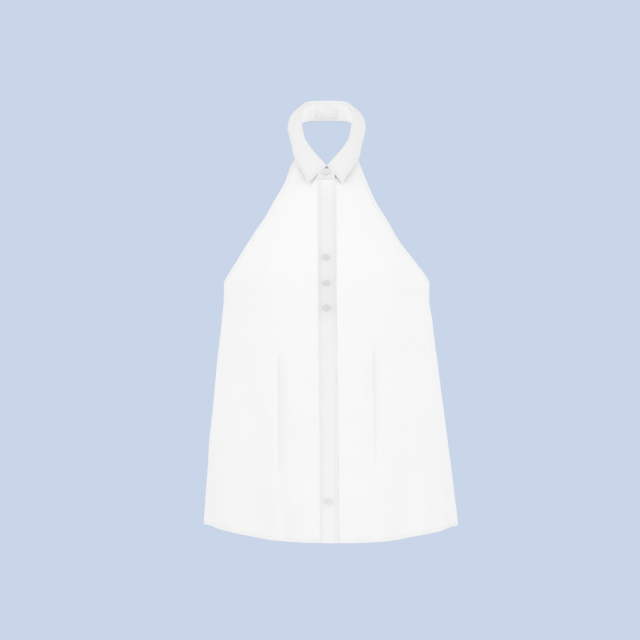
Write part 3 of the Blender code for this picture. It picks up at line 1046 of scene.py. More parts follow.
def placed(name: str, data: Any) -> bpy.types.Object:
    """Puts an object in the scene.

    Args:
        name: The object's name.
        data: Its mesh, lamp or camera.

    Returns:
        The object.
    """
    made = bpy.data.objects.new(name, data)
    bpy.context.scene.collection.objects.link(made)
    return made


# Finishes


class Number:
    """A socket whose sums and products add Math nodes."""

    def __init__(self, tree: bpy.types.NodeTree, socket: bpy.types.NodeSocket) -> None:
        """Wraps a socket of a tree."""
        self.tree, self.socket = tree, socket

    def math(self, operation: str, *values: Any) -> "Number":
        """Adds one Math node.

        Args:
            operation: The node's operation.
            values: Its inputs, numbers or wrapped sockets.

        Returns:
            The node's result.
        """
        node = self.tree.nodes.new("ShaderNodeMath")
        node.operation = operation
        for socket, value in zip(node.inputs, values):
            if isinstance(value, Number):
                self.tree.links.new(value.socket, socket)
            else:
                socket.default_value = value
        return Number(self.tree, node.outputs[0])

    def __add__(self, other: Any) -> "Number":
        """self + other."""
        return self.math("ADD", self, other)

    __radd__ = __add__

    def __sub__(self, other: Any) -> "Number":
        """self - other."""
        return self.math("SUBTRACT", self, other)

    def __rsub__(self, other: Any) -> "Number":
        """other - self."""
        return self.math("SUBTRACT", other, self)

    def __mul__(self, other: Any) -> "Number":
        """self * other."""
        return self.math("MULTIPLY", self, other)

    __rmul__ = __mul__

    def __truediv__(self, other: Any) -> "Number":
        """self / other."""
        return self.math("DIVIDE", self, other)

    def sine(self) -> "Number":
        """The sine, in radians."""
        return self.math("SINE", self)

    def bell(self, centre: float, width: float) -> "Number":
        """1 at a centre, and soft down to 0 on both sides."""
        away = (self - centre) / width
        return self.math("EXPONENT", -1.0 * (away * away))


class ShaderBoard:
    """A material's node tree, with one way to add any node."""

    def __init__(self, name: str) -> None:
        """Starts an empty material.

        Args:
            name: The material's name.
        """
        self.material = bpy.data.materials.new(name)
        self.material.use_nodes = True
        self.tree = self.material.node_tree
        self.tree.nodes.clear()

    def node(self, kind: str, settings: dict[str, Any] | None = None,
             **sockets: Any) -> bpy.types.Node:
        """Adds a node.

        Args:
            kind: The node's type, without its ShaderNode prefix.
            settings: The node's own settings, set first.
            sockets: Values, wrapped numbers or sockets for its inputs, with _ for a space.

        Returns:
            The node.
        """
        node = self.tree.nodes.new("ShaderNode" + kind)
        for key, value in (settings or {}).items():
            setattr(node, key, value)
        for key, value in sockets.items():
            socket = next(s for s in node.inputs
                          if s.enabled and s.name.replace(" ", "_") == key)
            if isinstance(value, Number):
                value = value.socket
            if isinstance(value, bpy.types.NodeSocket):
                self.tree.links.new(value, socket)
            else:
                socket.default_value = value
        return node

    def number(self, socket: bpy.types.NodeSocket) -> Number:
        """Wraps a socket for sums."""
        return Number(self.tree, socket)

    def noise(self, place: Any, scale: float, detail: float = 2.0) -> Number:
        """A soft noise about 0, from -0.5 to 0.5.

        Args:
            place: The place that it reads.
            scale: How fine it is, in waves a metre.
            detail: How many finer layers it has.

        Returns:
            The noise.
        """
        node = self.node("TexNoise", {"noise_dimensions": "3D"}, Vector=place, Scale=scale,
                         Detail=detail)
        return self.number(node.outputs[0]) - 0.5

    def scaled(self, place: Any, scale: tuple[float, float, float]) -> bpy.types.NodeSocket:
        """A place times a vector.

        Args:
            place: The place's socket.
            scale: The vector.

        Returns:
            The scaled place.
        """
        node = self.node("VectorMath", {"operation": "MULTIPLY"})
        self.tree.links.new(place, node.inputs[0])
        node.inputs[1].default_value = scale
        return node.outputs[0]

    def blend(self, low: tuple, high: tuple, factor: Number) -> bpy.types.NodeSocket:
        """A colour between two, by a factor.

        Args:
            low: The colour at 0.
            high: The colour at 1.
            factor: The factor, which is kept between 0 and 1.

        Returns:
            The colour's socket.
        """
        node = self.node("Mix", {"data_type": "RGBA", "clamp_factor": True})
        self.tree.links.new(factor.socket, node.inputs[0])
        colours = [s for s in node.inputs if s.type == "RGBA"]
        colours[0].default_value, colours[1].default_value = (*low, 1.0), (*high, 1.0)
        return next(s for s in node.outputs if s.type == "RGBA")

    def finish(self, shader: bpy.types.Node) -> bpy.types.Material:
        """Joins the shader to the output.

        Args:
            shader: The shader's node.

        Returns:
            The material.
        """
        output = self.node("OutputMaterial")
        self.tree.links.new(shader.outputs[0], output.inputs["Surface"])
        return self.material


@dataclass(frozen=True)
class ClothFinish:
    """A plain woven cotton, by its colour, its threads and how it is pressed."""

    name: str
    colour: tuple[float, float, float]
    shade: tuple[float, float, float]
    roughness: float = 0.86
    sheen: float = 0.12
    pitch: float = 0.42
    thread_rise: float = 0.010
    crumple: float = 0.11
    slub: float = 0.35
    stitch_share: float = STITCH_SHARE
    groove: float = 0.12
    # Painted shade along the stitch lines, along the turned hems, and as deep as the painted
    # shading attribute asks
    line_shade: float = 0.12
    band_shade: float = 0.55
    doubled_shade: float = 0.06
    strands: tuple[float, float] = (2200.0, 60.0)
    tone: float = 0.62
    wide_scale: float = 7.0
    wide_share: float = 0.5
    mottle_scale: float = 34.0
    mottle_share: float = 0.3
    line_width: float = 0.16
    hem_end: tuple[float, float] = (0.92, 1.06)
    hem_rise: float = 0.18
    pucker_scale: float = 130.0
    pucker_share: float = 0.5
    crumple_scale: float = 46.0

    def material(self) -> bpy.types.Material:
        """Makes the cloth's material.

        Returns:
            Weave, slubs, soft crumples and the pressed hem, from the sheet's flat layout, with
            painted shade along hems and stitch lines and the attribute's painted shade and light.
        """
        board = ShaderBoard(self.name)
        flat = board.node("UVMap", {"uv_map": "cloth"}).outputs[0]
        place = board.node("TexCoord").outputs["Object"]
        axes = board.node("SeparateXYZ", Vector=flat)
        turn = math.pi / (self.pitch * MM)
        weft, warp = (board.number(axes.outputs[i]) * turn for i in (0, 1))
        weave = weft.sine() * warp.sine() * 0.5
        fine, coarse = self.strands
        threads = board.noise(board.scaled(flat, (fine, coarse, 1.0)), 1.0)
        threads += board.noise(board.scaled(flat, (coarse, fine, 1.0)), 1.0)
        wide = board.noise(place, self.wide_scale, 1.0)
        mottle = board.noise(place, self.mottle_scale, 3.0)
        share = board.number(board.node("Attribute", {"attribute_name": "edge"}).outputs["Fac"])
        line = share.bell(self.stitch_share, self.line_width)
        near, far = self.hem_end
        band = board.number(board.node(
            "MapRange", {"interpolation_type": "SMOOTHSTEP"}, Value=share, From_Min=near,
            From_Max=far, To_Min=1.0, To_Max=0.0).outputs[0])
        pucker = board.noise(place, self.pucker_scale, 1.0) * line
        doubled = board.number(
            board.node("Attribute", {"attribute_name": "doubled"}).outputs["Fac"])
        tone = (self.tone + threads * self.slub + wide * self.wide_share
                + mottle * self.mottle_share)
        # Painted shade: the hems and the stitch lines are darker in the colour
        tone -= band * self.band_shade + line * self.line_shade
        # Painted shade and light: the colour is scaled by the sheet's painted shading attribute
        colour = board.node("VectorMath", {"operation": "SCALE"},
                            Vector=board.blend(self.shade, self.colour, tone),
                            Scale=1.0 - doubled * self.doubled_shade).outputs[0]
        height = weave * self.thread_rise + threads * self.thread_rise
        height += board.noise(place, self.crumple_scale, 2.0) * self.crumple
        height += band * self.hem_rise - line * self.groove + pucker * self.pucker_share
        bump = board.node("Bump", Strength=1.0, Distance=MM, Height=height)
        shader = board.node("BsdfPrincipled", Base_Color=colour, Roughness=self.roughness,
                            Normal=bump.outputs[0], Specular_IOR_Level=0.22,
                            Sheen_Weight=self.sheen, Sheen_Roughness=0.45)
        return board.finish(shader)


@dataclass(frozen=True)
class ResinFinish:
    """A cast resin button, faintly clouded, with a polished face."""

    name: str
    colour: tuple[float, float, float]
    cloud: tuple[float, float, float]
    roughness: float = 0.24
    coat: float = 0.3
    cloud_scale: float = 260.0
    cloud_share: float = 1.2
    wear_scale: float = 900.0
    wear: float = 0.08
    grain_scale: float = 700.0
    grain: float = 0.03

    def material(self) -> bpy.types.Material:
        """Makes the resin's material.

        Returns:
            Faintly clouded resin with a polished coat.
        """
        board = ShaderBoard(self.name)
        place = board.node("TexCoord").outputs["Object"]
        clouds = board.noise(place, self.cloud_scale, 3.0)
        colour = board.blend(self.cloud, self.colour, 0.5 + clouds * self.cloud_share)
        rough = self.roughness + board.noise(place, self.wear_scale, 2.0) * self.wear
        bump = board.node("Bump", Strength=0.3, Distance=self.grain * MM,
                          Height=board.noise(place, self.grain_scale, 2.0))
        shader = board.node("BsdfPrincipled", Base_Color=colour, Roughness=rough,
                            Normal=bump.outputs[0], Coat_Weight=self.coat)
        return board.finish(shader)


@dataclass(frozen=True)
class ThreadFinish:
    """Spun sewing thread, a little glossier than the cloth it holds."""

    name: str
    colour: tuple[float, float, float]
    shade: tuple[float, float, float]
    roughness: float = 0.62
    strand_scale: float = 3200.0
    strand_share: float = 1.4
    strand_rise: float = 0.06

    def material(self) -> bpy.types.Material:
        """Makes the thread's material.

        Returns:
            Spun thread, with its strands in colour and relief.
        """
        board = ShaderBoard(self.name)
        place = board.node("TexCoord").outputs["Object"]
        strands = board.noise(place, self.strand_scale, 1.0)
        colour = board.blend(self.shade, self.colour, 0.5 + strands * self.strand_share)
        bump = board.node("Bump", Strength=0.6, Distance=self.strand_rise * MM, Height=strands)
        shader = board.node("BsdfPrincipled", Base_Color=colour, Roughness=self.roughness,
                            Normal=bump.outputs[0], Sheen_Weight=0.2)
        return board.finish(shader)


@dataclass
class Workroom:
    """The finishes in use, each made once."""

    poplin: bpy.types.Material
    band: bpy.types.Material
    collar: bpy.types.Material
    stand: bpy.types.Material
    label: bpy.types.Material
    resin: bpy.types.Material
    # The lighter copy of the button resin, painted light
    pale_resin: bpy.types.Material
    thread: bpy.types.Material

    @classmethod
    def stocked(cls) -> "Workroom":
        """Makes every finish of the shirt.

        Returns:
            The room with its finishes.
        """
        return cls(
            poplin=ClothFinish("poplin", (0.95, 0.95, 0.945), (0.91, 0.91, 0.908)).material(),
            # The bands' darker colour is painted shade
            band=ClothFinish("band_poplin", (0.885, 0.885, 0.882), (0.85, 0.85, 0.848),
                             crumple=0.07, groove=0.04, line_shade=0.0).material(),
            # The collar's darker colour is painted shade
            collar=ClothFinish("collar_poplin", (0.89, 0.89, 0.886), (0.84, 0.84, 0.838),
                               crumple=0.05).material(),
            # The stand's lighter colour is painted light, and its front takes painted shade
            stand=ClothFinish("stand_poplin", (0.965, 0.965, 0.96), (0.93, 0.93, 0.928),
                              crumple=0.05, doubled_shade=0.12).material(),
            label=ClothFinish("label_weave", (0.93, 0.93, 0.92), (0.84, 0.84, 0.83),
                              roughness=0.6, sheen=0.3, pitch=0.3, thread_rise=0.02,
                              crumple=0.03, slub=1.1).material(),
            resin=ResinFinish("button_resin", (0.80, 0.79, 0.79), (0.74, 0.73, 0.73)).material(),
            # A lighter copy of the button resin, painted light
            pale_resin=ResinFinish("button_resin_pale", (0.88, 0.875, 0.87),
                                   (0.84, 0.835, 0.83)).material(),
            thread=ThreadFinish("sewing_thread", (0.95, 0.95, 0.945),
                                (0.87, 0.87, 0.865)).material())


# Pieces


def new_object(name: str, mesh: bpy.types.Mesh, material: bpy.types.Material) -> bpy.types.Object:
    """Puts a finished mesh in the scene as a piece on the shirt's body.

    Args:
        name: The piece's name.
        mesh: Its mesh, in place.
        material: Its finish.

    Returns:
        The piece.
    """
    piece = placed(name, mesh)
    mesh.materials.clear()
    mesh.materials.append(material)
    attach(piece, BODY)
    return piece


@dataclass
class StitchRow:
    """A row of lockstitches along a line on a sheet."""

    points: Array
    normals: Array
    pitch: float = 3.0
    length: float = 2.3
    width: float = 0.46
    rise: float = 0.34
    start: float = 0.7
    lift: float = 0.05

    def sew(self, form: bmesh.types.BMesh) -> None:
        """Adds the row's stitches, each a small long bead of thread.

        Args:
            form: The form that takes them.
        """
        arcs = row_arcs(self.points[None])[0]
        count = max(int((arcs[-1] - self.length) / self.pitch), 1)
        for middle in self.length * self.start + np.arange(count) * self.pitch:
            before, seat, after = read_line(middle + np.array((-0.5, 0.0, 0.5)), arcs, self.points)
            out = unit(read_line(middle, arcs, self.normals))
            along = unit(after - before)
            aside = np.cross(out, along)
            frame_at = np.eye(4)
            for column, (way, size) in enumerate(
                    ((along, self.length), (aside, self.width), (out, self.rise))):
                frame_at[:3, column] = way * size * 0.5 * MM
            frame_at[:3, 3] = (seat + out * self.lift) * MM
            bmesh.ops.create_icosphere(form, subdivisions=1, radius=1.0,
                                       matrix=Matrix(frame_at.tolist()))


def sew_rows(name: str, rows: list[StitchRow], material: bpy.types.Material) -> bpy.types.Object:
    """Makes all the stitches of one sheet as one piece.

    Args:
        name: The piece's name.
        rows: The rows of stitches.
        material: The thread.

    Returns:
        The piece.
    """
    form = bmesh.new()
    for row in rows:
        row.sew(form)
    mesh = mesh_of(form, name)
    mesh.shade_smooth()
    return new_object(name, mesh, material)


@dataclass
class SheetSize:
    """A sheet's size as it was cut: width and length in metres, and its area's share."""

    width: float
    length: float
    share: float

    def declare(self, piece: bpy.types.Object, sewn: list[bpy.types.Object]) -> None:
        self.width * self.length * self.share


def log_size(name: str, grid: ClothGrid) -> None:
    """Reports how big a sheet measures when laid flat.

    Args:
        name: The sheet's name.
        grid: The sheet.
    """
    down, along = row_arcs(grid.points.swapaxes(0, 1))[:, -1], row_arcs(grid.points)[:, -1]
    a = grid.points
    first = np.cross(a[1:, :-1] - a[:-1, :-1], a[:-1, 1:] - a[:-1, :-1])
    second = np.cross(a[1:, :-1] - a[1:, 1:], a[:-1, 1:] - a[1:, 1:])
    area = 0.5 * (np.linalg.norm(first, axis=2) + np.linalg.norm(second, axis=2)).sum()
    LOG.info("%s flat %.0f x %.0f mm, area share %.3f", name, along.max(), down.max(),
             area / along.max() / down.max())


@dataclass
class Panel:
    """A piece of cloth with its stitches, and the solid's node that it stands for."""

    node: str
    size: SheetSize
    slot: str = "poplin"
    held_at: Edge = Edge.LEFT
    wall: float = 0.45
    offset: float = -1.0
    rounding: float = 0.0
    rounded_from: float = 50.0

    def make(self, grid: ClothGrid, rows: list[StitchRow], cloth: bpy.types.Material,
             thread: bpy.types.Material) -> None:
        """Makes the piece from its sheet, with its thickness and rounded edge as modifiers.

        Args:
            grid: The sheet, with its outer face where the solid has it.
            rows: Its rows of stitches.
            cloth: The cloth.
            thread: The thread.
        """
        name = self.node + "_cloth"
        log_size(name, grid)
        piece = new_object(name, grid.mesh(name, self.held_at), cloth)
        solid = piece.modifiers.new("cloth", "SOLIDIFY")
        solid.thickness = self.wall * MM
        solid.offset = self.offset
        solid.use_even_offset = False
        if self.rounding:
            bevel = piece.modifiers.new("edge", "BEVEL")
            bevel.width, bevel.segments, bevel.limit_method = self.rounding * MM, 2, "ANGLE"
            bevel.angle_limit = math.radians(self.rounded_from)
        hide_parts(self.node)
        LOG.info("%s made", name)
        self.size.declare(piece, [sew_rows(self.node + "_stitches", rows, thread)])


@dataclass
class Front:
    """One front, from under the band to the armhole and the side seam."""

    side: Side
    node: str
    size: SheetSize
    band_edge: float = -8.2
    seam: float = 0.1
    chest_rows: int = 76
    chest_ease: float = 1.7
    body_rows: int = 104
    band_steps: int = 5
    columns: tuple[int, int] = (20, 38)
    dart_steps: tuple[float, ...] = (-5.0, -3.2, -1.9, -1.0, -0.4, 0.0, 0.4, 1.0, 1.9, 3.2, 5.0)
    dart_margin: float = 20.0
    body: float = 412.0
    dense: int = 90
    fine_share: float = 0.3
    edge_step: float = 0.7
    batches: int = 24
    turning: float = 9.0
    hem: float = 7.0
    roll: float = 0.46
    tuck: float = 2.0
    fine: tuple[float, ...] = (11.0, 8.4, 6.0, 3.8, 1.9, 0.0)
    hem_fine: tuple[float, ...] = (9.0, 6.8, 4.6, 2.2, 0.0)

    @property
    def outer(self) -> Edge:
        """The sheet's edge at the armhole and the side seam."""
        return Edge.RIGHT if self.side is Side.RIGHT else Edge.LEFT

    @property
    def inner(self) -> Edge:
        """The sheet's edge under the band."""
        return Edge.LEFT if self.side is Side.RIGHT else Edge.RIGHT

    def levels(self) -> Array:
        """The levels of the rows, finer towards the underarm and at the hem.

        Returns:
            Levels, from 0 at the neckline to 1 at the underarm and 2 at the hem.
        """
        chest = 1.0 - (1.0 - np.arange(self.chest_rows) / self.chest_rows) ** self.chest_ease
        down = graded(np.array([self.body]), self.body_rows, self.hem_fine)[0] / self.body
        return np.concatenate([chest, 1.0 + down])

    def column_arcs(self, surface: Array, arcs: Array) -> Array:
        """How far from the band each column lies, close together by the dart.

        Args:
            surface: Dense points of the rows, from the band outwards.
            arcs: How far along its row each of them lies.

        Returns:
            The columns' distances, a row for each row of the sheet.
        """
        dart = next(d for d in DARTS if d.across * self.side.value > 0)
        drop = -surface[:, 0, 2]
        side = np.full_like(drop, self.side.value)
        band, turn = (FORM.turn_of(np.full_like(drop, away), drop, side)
                      for away in (FORM.band, abs(dart.across)))
        share = (turn - band) / (90.0 - band)
        dense = np.linspace(0.0, 1.0, arcs.shape[1])
        at = np.array([np.interp(s, dense, a) for s, a in zip(share, arcs)])
        length = arcs[:, -1] - self.seam
        crossed = np.flatnonzero((drop > dart.top - self.dart_margin)
                                 & (drop < dart.foot + self.dart_margin))
        rows = np.clip(np.arange(len(drop)), crossed[0], crossed[-1])
        middle = ((at / arcs[:, -1])[rows] * length)[:, None]
        steps = np.array(self.dart_steps)
        ends = np.minimum(np.array(self.fine), length[:, None] * self.fine_share)
        spans = ((0.0 * middle, middle + steps[0], self.columns[0]),
                 (middle + steps[-1], length[:, None] - ends[:, :1], self.columns[1]))
        even = [mix(low, high, np.linspace(0.0, 1.0, count + 1)[None, :])
                for low, high, count in spans]
        return np.concatenate([even[0], middle + steps[1:-1], even[1],
                               length[:, None] - ends[:, 1:]], axis=1)

    def armhole_distance(self, grid: ClothGrid) -> Array:
        """How far each point lies from the armhole's edge, in millimetres.

        Args:
            grid: The flat sheet.

        Returns:
            The distances.
        """
        edge = grid.points[1:2 + self.chest_rows, -1 if self.side is Side.RIGHT else 0]
        arc = row_arcs(edge[None])[0]
        fine = np.arange(0.0, arc[-1], self.edge_step)
        line = read_line(fine, arc, edge)
        flat = grid.points.reshape(-1, 3)
        near = np.concatenate([
            np.linalg.norm(part[:, None] - line[None], axis=2).min(axis=1)
            for part in np.array_split(flat, self.batches)])
        return near.reshape(grid.edge.shape)

    def armhole_stitches(self, grid: ClothGrid, distance: Array) -> StitchRow:
        """The row of stitches that holds the armhole's hem, at an even distance from its edge.

        Args:
            grid: The flat sheet.
            distance: How far each point lies from the edge.

        Returns:
            The row of stitches.
        """
        order = slice(None, None, -1 if self.side is Side.RIGHT else 1)
        inset = STITCH_SHARE * self.turning
        seats, ways = [], []
        for points, normals, away in zip(grid.points[2:], grid.normals[2:], distance[2:]):
            away, points, normals = away[order], points[order], normals[order]
            if away[0] >= inset:
                break
            last = int(np.argmax(away > inset)) + 1
            seats.append(read_line(inset, away[:last], points[:last]))
            ways.append(read_line(inset, away[:last], normals[:last]))
        return StitchRow(np.array(seats), unit(np.array(ways)))

    def grid(self) -> ClothGrid:
        """Works out the flat sheet, before its edges are turned.

        Returns:
            The sheet, its rows running from the viewer's left to right.
        """
        sign = self.side.value
        levels = self.levels()[:, None]
        dense = np.linspace(1.0, 2.0, self.dense)[None, :] * np.ones_like(levels)
        surface = FORM.front(sign * dense, levels + 0.0 * dense)
        arcs = row_arcs(surface)
        columns = resampled(dense, arcs, self.column_arcs(surface, arcs))
        inner = self.band_edge / FORM.band * sign
        under = np.linspace(inner, 1.0, self.band_steps, endpoint=False)
        columns = np.concatenate([np.ones_like(levels) * under, columns], axis=1) * sign
        points = FORM.front(columns, levels + 0.0 * columns)
        tucked = FORM.front(columns[:1], np.zeros_like(columns[:1]), self.tuck)
        points = np.concatenate([tucked, points])
        return ClothGrid.over(points if sign > 0 else points[:, ::-1])

    def build(self, room: Workroom) -> None:
        """Makes the front with its turned edges and stitches.

        Args:
            room: The finishes.
        """
        flat = self.grid()
        distance = self.armhole_distance(flat)
        flat.edge = np.minimum(distance / self.turning, flat.edge_far)
        grid = flat.turned(self.outer, self.turning, self.roll, False)
        grid = grid.turned(Edge.FOOT, self.hem, self.roll)
        # Painted shade beside the darts
        grid.doubled = FORM.doubled_at(grid.points)
        rows = [self.armhole_stitches(flat, distance),
                StitchRow(*flat.line(Edge.FOOT, STITCH_SHARE * self.hem))]
        Panel(self.node, self.size, held_at=self.inner).make(grid, rows, room.poplin, room.thread)


@dataclass
class Back:
    """The back, from side seam to side seam, with its turned top edge."""

    node: str
    size: SheetSize
    dip: float = 12.0
    seam: float = 0.1
    columns: int = 118
    rows: int = 100
    body: float = 410.0
    dense: int = 181
    turning: float = 9.0
    hem: float = 7.0
    roll: float = 0.46
    fine: tuple[float, ...] = (9.0, 6.6, 4.0, 1.9, 0.0)
    row_fine: tuple[float, ...] = (11.0, 8.4, 6.0, 3.6, 1.8, 0.0)

    def grid(self) -> ClothGrid:
        """Works out the flat sheet, before its edges are turned.

        Returns:
            The sheet.
        """
        shares = graded(np.array([self.body]), self.rows, self.row_fine, both=True)
        shares = shares[0][:, None] / self.body
        dense = np.linspace(90.0, 270.0, self.dense)[None, :] * np.ones_like(shares)

        def surface(turn: Array) -> Array:
            """The back's points at some turns, from its dipped top edge to the hem."""
            top = FORM.underarm + self.dip * np.cos(np.radians(turn)) ** 2
            return FORM.point(turn, mix(top, FORM.hem_drop(turn), shares))

        arcs = row_arcs(surface(dense))
        wanted = graded(arcs[:, -1] - 2 * self.seam, self.columns, self.fine, both=True)
        return ClothGrid.over(surface(resampled(dense, arcs, wanted + self.seam)))

    def build(self, room: Workroom) -> None:
        """Makes the back with its turned edges and stitches.

        Args:
            room: The finishes.
        """
        flat = self.grid()
        grid = flat.turned(Edge.LEFT, self.turning, self.roll, False)
        grid = grid.turned(Edge.RIGHT, self.turning, self.roll, False)
        grid = grid.turned(Edge.TOP, self.turning, self.roll)
        grid = grid.turned(Edge.FOOT, self.hem, self.roll)
        rows = [StitchRow(*flat.line(edge, STITCH_SHARE * width))
                for edge, width in ((Edge.TOP, self.turning), (Edge.FOOT, self.hem))]
        Panel(self.node, self.size).make(grid, rows, room.poplin, room.thread)


@dataclass
class Band:
    """A front band: the top one with the buttonholes or the button band under it."""

    node: str
    size: SheetSize
    lift: float
    on_top: bool
    rows: int = 190
    chest_rows: int = 56
    chest: float = 171.0
    columns: tuple[float, ...] = (
        -1.0, -0.965, -0.9, -0.8, -0.683, -0.55, -0.4, -0.2, 0.0,
        0.2, 0.4, 0.55, 0.683, 0.8, 0.9, 0.965, 1.0)
    top_gap: float = 0.0
    wall: float = 0.8
    rounding: float = 0.3
    stitch_inset: float = 4.6
    stitch_line: float = 0.683
    stitch_width: float = 0.07
    stitch_dent: float = 0.08
    pressed_from: float = 0.8
    pressing: float = 0.6
    loose_from: float = 0.55
    loosening: float = 0.2
    loose_mean: float = 0.45
    loose_swing: float = 0.4
    waves: tuple[tuple[float, float, float], ...] = ((1.0, 23.0, 0.0), (0.6, 41.0, 1.3))
    buttonholes: tuple[float, ...] = ()
    hole_length: float = 13.0
    hole_across: float = -1.5
    hole_side: float = 0.75
    hole_stitch: float = 0.8
    hole_count: int = 23
    # How far and how deep the painted shade round each buttonhole runs, and the painted light down
    # the band, as level and share
    button_shade_reach: float = 19.0
    button_shade_shares: tuple[float, ...] = (0.6, 0.7, 0.8, 0.4)
    painted_light_along: tuple[tuple[float, float], ...] = (
        (97.0, -0.9), (145.0, 0.0), (322.0, 0.0), (345.0, -0.25), (610.0, -0.6), (714.0, -0.9))

    def grid(self) -> ClothGrid:
        """Works out the band's sheet.

        Returns:
            The sheet, with painted shade round its buttonholes and painted light towards its ends.
        """
        levels = np.concatenate([np.linspace(0.0, 1.0, self.chest_rows, endpoint=False),
                                 np.linspace(1.0, 2.0, self.rows - self.chest_rows)])
        levels = mix(self.top_gap / self.chest, 2.0, levels / 2.0)[:, None]
        columns = np.array(self.columns)[None, :] + 0.0 * levels
        grid = ClothGrid.over(FORM.front(columns, levels + 0.0 * columns))
        lift = np.full(columns.shape, self.lift)
        if self.on_top:
            free = ease((columns - self.loose_from) / (1.0 - self.loose_from))
            wave = sum(size * np.sin(levels * count + phase) for size, count, phase in self.waves)
            lift = lift + free * self.loosening * (self.loose_mean + self.loose_swing * wave)
            outer = (np.abs(columns) - self.pressed_from) / (1.0 - self.pressed_from)
            seam = (np.abs(columns) - self.stitch_line) / self.stitch_width
            lift = lift - self.pressing * ease(outer) - self.stitch_dent * np.exp(-seam ** 2)
        grid = grid.moved_out(lift)
        if self.on_top:
            inset = (1.0 - np.abs(columns)) * FORM.band / self.stitch_inset * STITCH_SHARE
            grid.edge = np.minimum(inset, grid.edge_far)
            # Painted shade round each buttonhole, and painted light at the throat and towards the
            # hem
            button_shades = [share * np.exp(-((grid.points[..., 2] + drop) / self.button_shade_reach) ** 2)
                     for drop, share in zip(self.buttonholes, self.button_shade_shares)]
            drops, shares = zip(*self.painted_light_along)
            grid.doubled = sum(button_shades) + np.interp(-grid.points[..., 2], drops, shares)
        return grid

    def holes(self, grid: ClothGrid) -> list[StitchRow]:
        """The satin stitches round each buttonhole.

        Args:
            grid: The band's sheet.

        Returns:
            Short rows of stitches across both sides of each hole.
        """
        rows = []
        column = int(np.argmin(np.abs(
            grid.points[0, :, 0] - FORM.sections.rows[0].centre - self.hole_across)))
        line, ways = grid.points[:, column], grid.normals[:, column]
        for drop in self.buttonholes:
            ends = np.linspace(-0.5, 0.5, self.hole_count) * self.hole_length + drop
            at, out = (read_line(-ends, line[::-1, 2], each[::-1]) for each in (line, ways))
            for aside in (-self.hole_side, self.hole_side):
                across = aside + np.array((-self.hole_stitch, 0.0, self.hole_stitch))
                for seat, way in zip(at, out):
                    points = seat + np.outer(across, (1.0, 0.0, 0.0))
                    rows.append(StitchRow(points, np.repeat(way[None], 3, axis=0), pitch=9.0,
                                          length=1.15, width=0.5, rise=0.5))
        return rows

    def build(self, room: Workroom) -> None:
        """Makes the band with its stitches.

        Args:
            room: The finishes.
        """
        grid = self.grid()
        rows = [StitchRow(*grid.line(edge, self.stitch_inset)) for edge in (Edge.LEFT, Edge.RIGHT)]
        Panel(self.node, self.size, wall=self.wall, rounding=self.rounding).make(
            grid, rows + self.holes(grid), room.band, room.thread)


@dataclass
class Stand:
    """The band round the neck, whose end by the viewer's left laps over the other."""

    node: str
    size: SheetSize
    wall: float = 1.2
    top: float = 0.9
    rise: float = 0.26
    rise_reach: float = 0.22
    end_height: float = 0.78
    end_reach: float = 0.35
    # How far round the neck the painted shade on the stand's front reaches
    front_shade_reach: float = 1.7
    columns: int = 168
    rows: int = 11
    stitch_inset: float = 2.2
    stitched: tuple[float, float] = (0.01, 0.99)

    def grid(self) -> ClothGrid:
        """Works out the stand's sheet, on its middle surface.

        Returns:
            The sheet, with painted shade on its front.
        """
        tab = FORM.collar.tab
        place = np.linspace(2 * NAPE + tab, -tab, self.columns)[None, :]
        share = np.linspace(self.top, 0.0, self.rows)[:, None]
        rounded = ease((np.minimum(place + tab, 2 * NAPE + tab - place)) / self.end_reach)
        away = from_front(place)
        top = mix(self.end_height, 1.0, rounded)
        top = top + self.rise * np.exp(-(away / self.rise_reach) ** 2)
        place, share = np.broadcast_arrays(place, share)
        grid = ClothGrid.over(FORM.collar.stand(place, share * top))
        # Painted shade on the stand's front, between the leaf's ends
        grid.doubled = np.exp(-(away / self.front_shade_reach) ** 2) + 0.0 * share
        return grid

    def build(self, room: Workroom) -> None:
        """Makes the stand with its stitches.

        Args:
            room: The finishes.
        """
        grid = self.grid()
        down = row_arcs(grid.points.swapaxes(0, 1)).T
        inset = np.minimum(down, down[-1:] - down)
        grid.edge = np.minimum(inset / self.stitch_inset * STITCH_SHARE, grid.edge_far)
        faces = [grid.moved_out(side * self.wall / 2) for side in (1.0, -1.0)]
        faces[1].normals = -faces[1].normals
        rows = [StitchRow(*face.line(edge, self.stitch_inset, *self.stitched))
                for face in faces for edge in (Edge.TOP, Edge.FOOT)]
        Panel(self.node, self.size, "collar_poplin", wall=self.wall, offset=0.0).make(
            grid, rows, room.stand, room.thread)


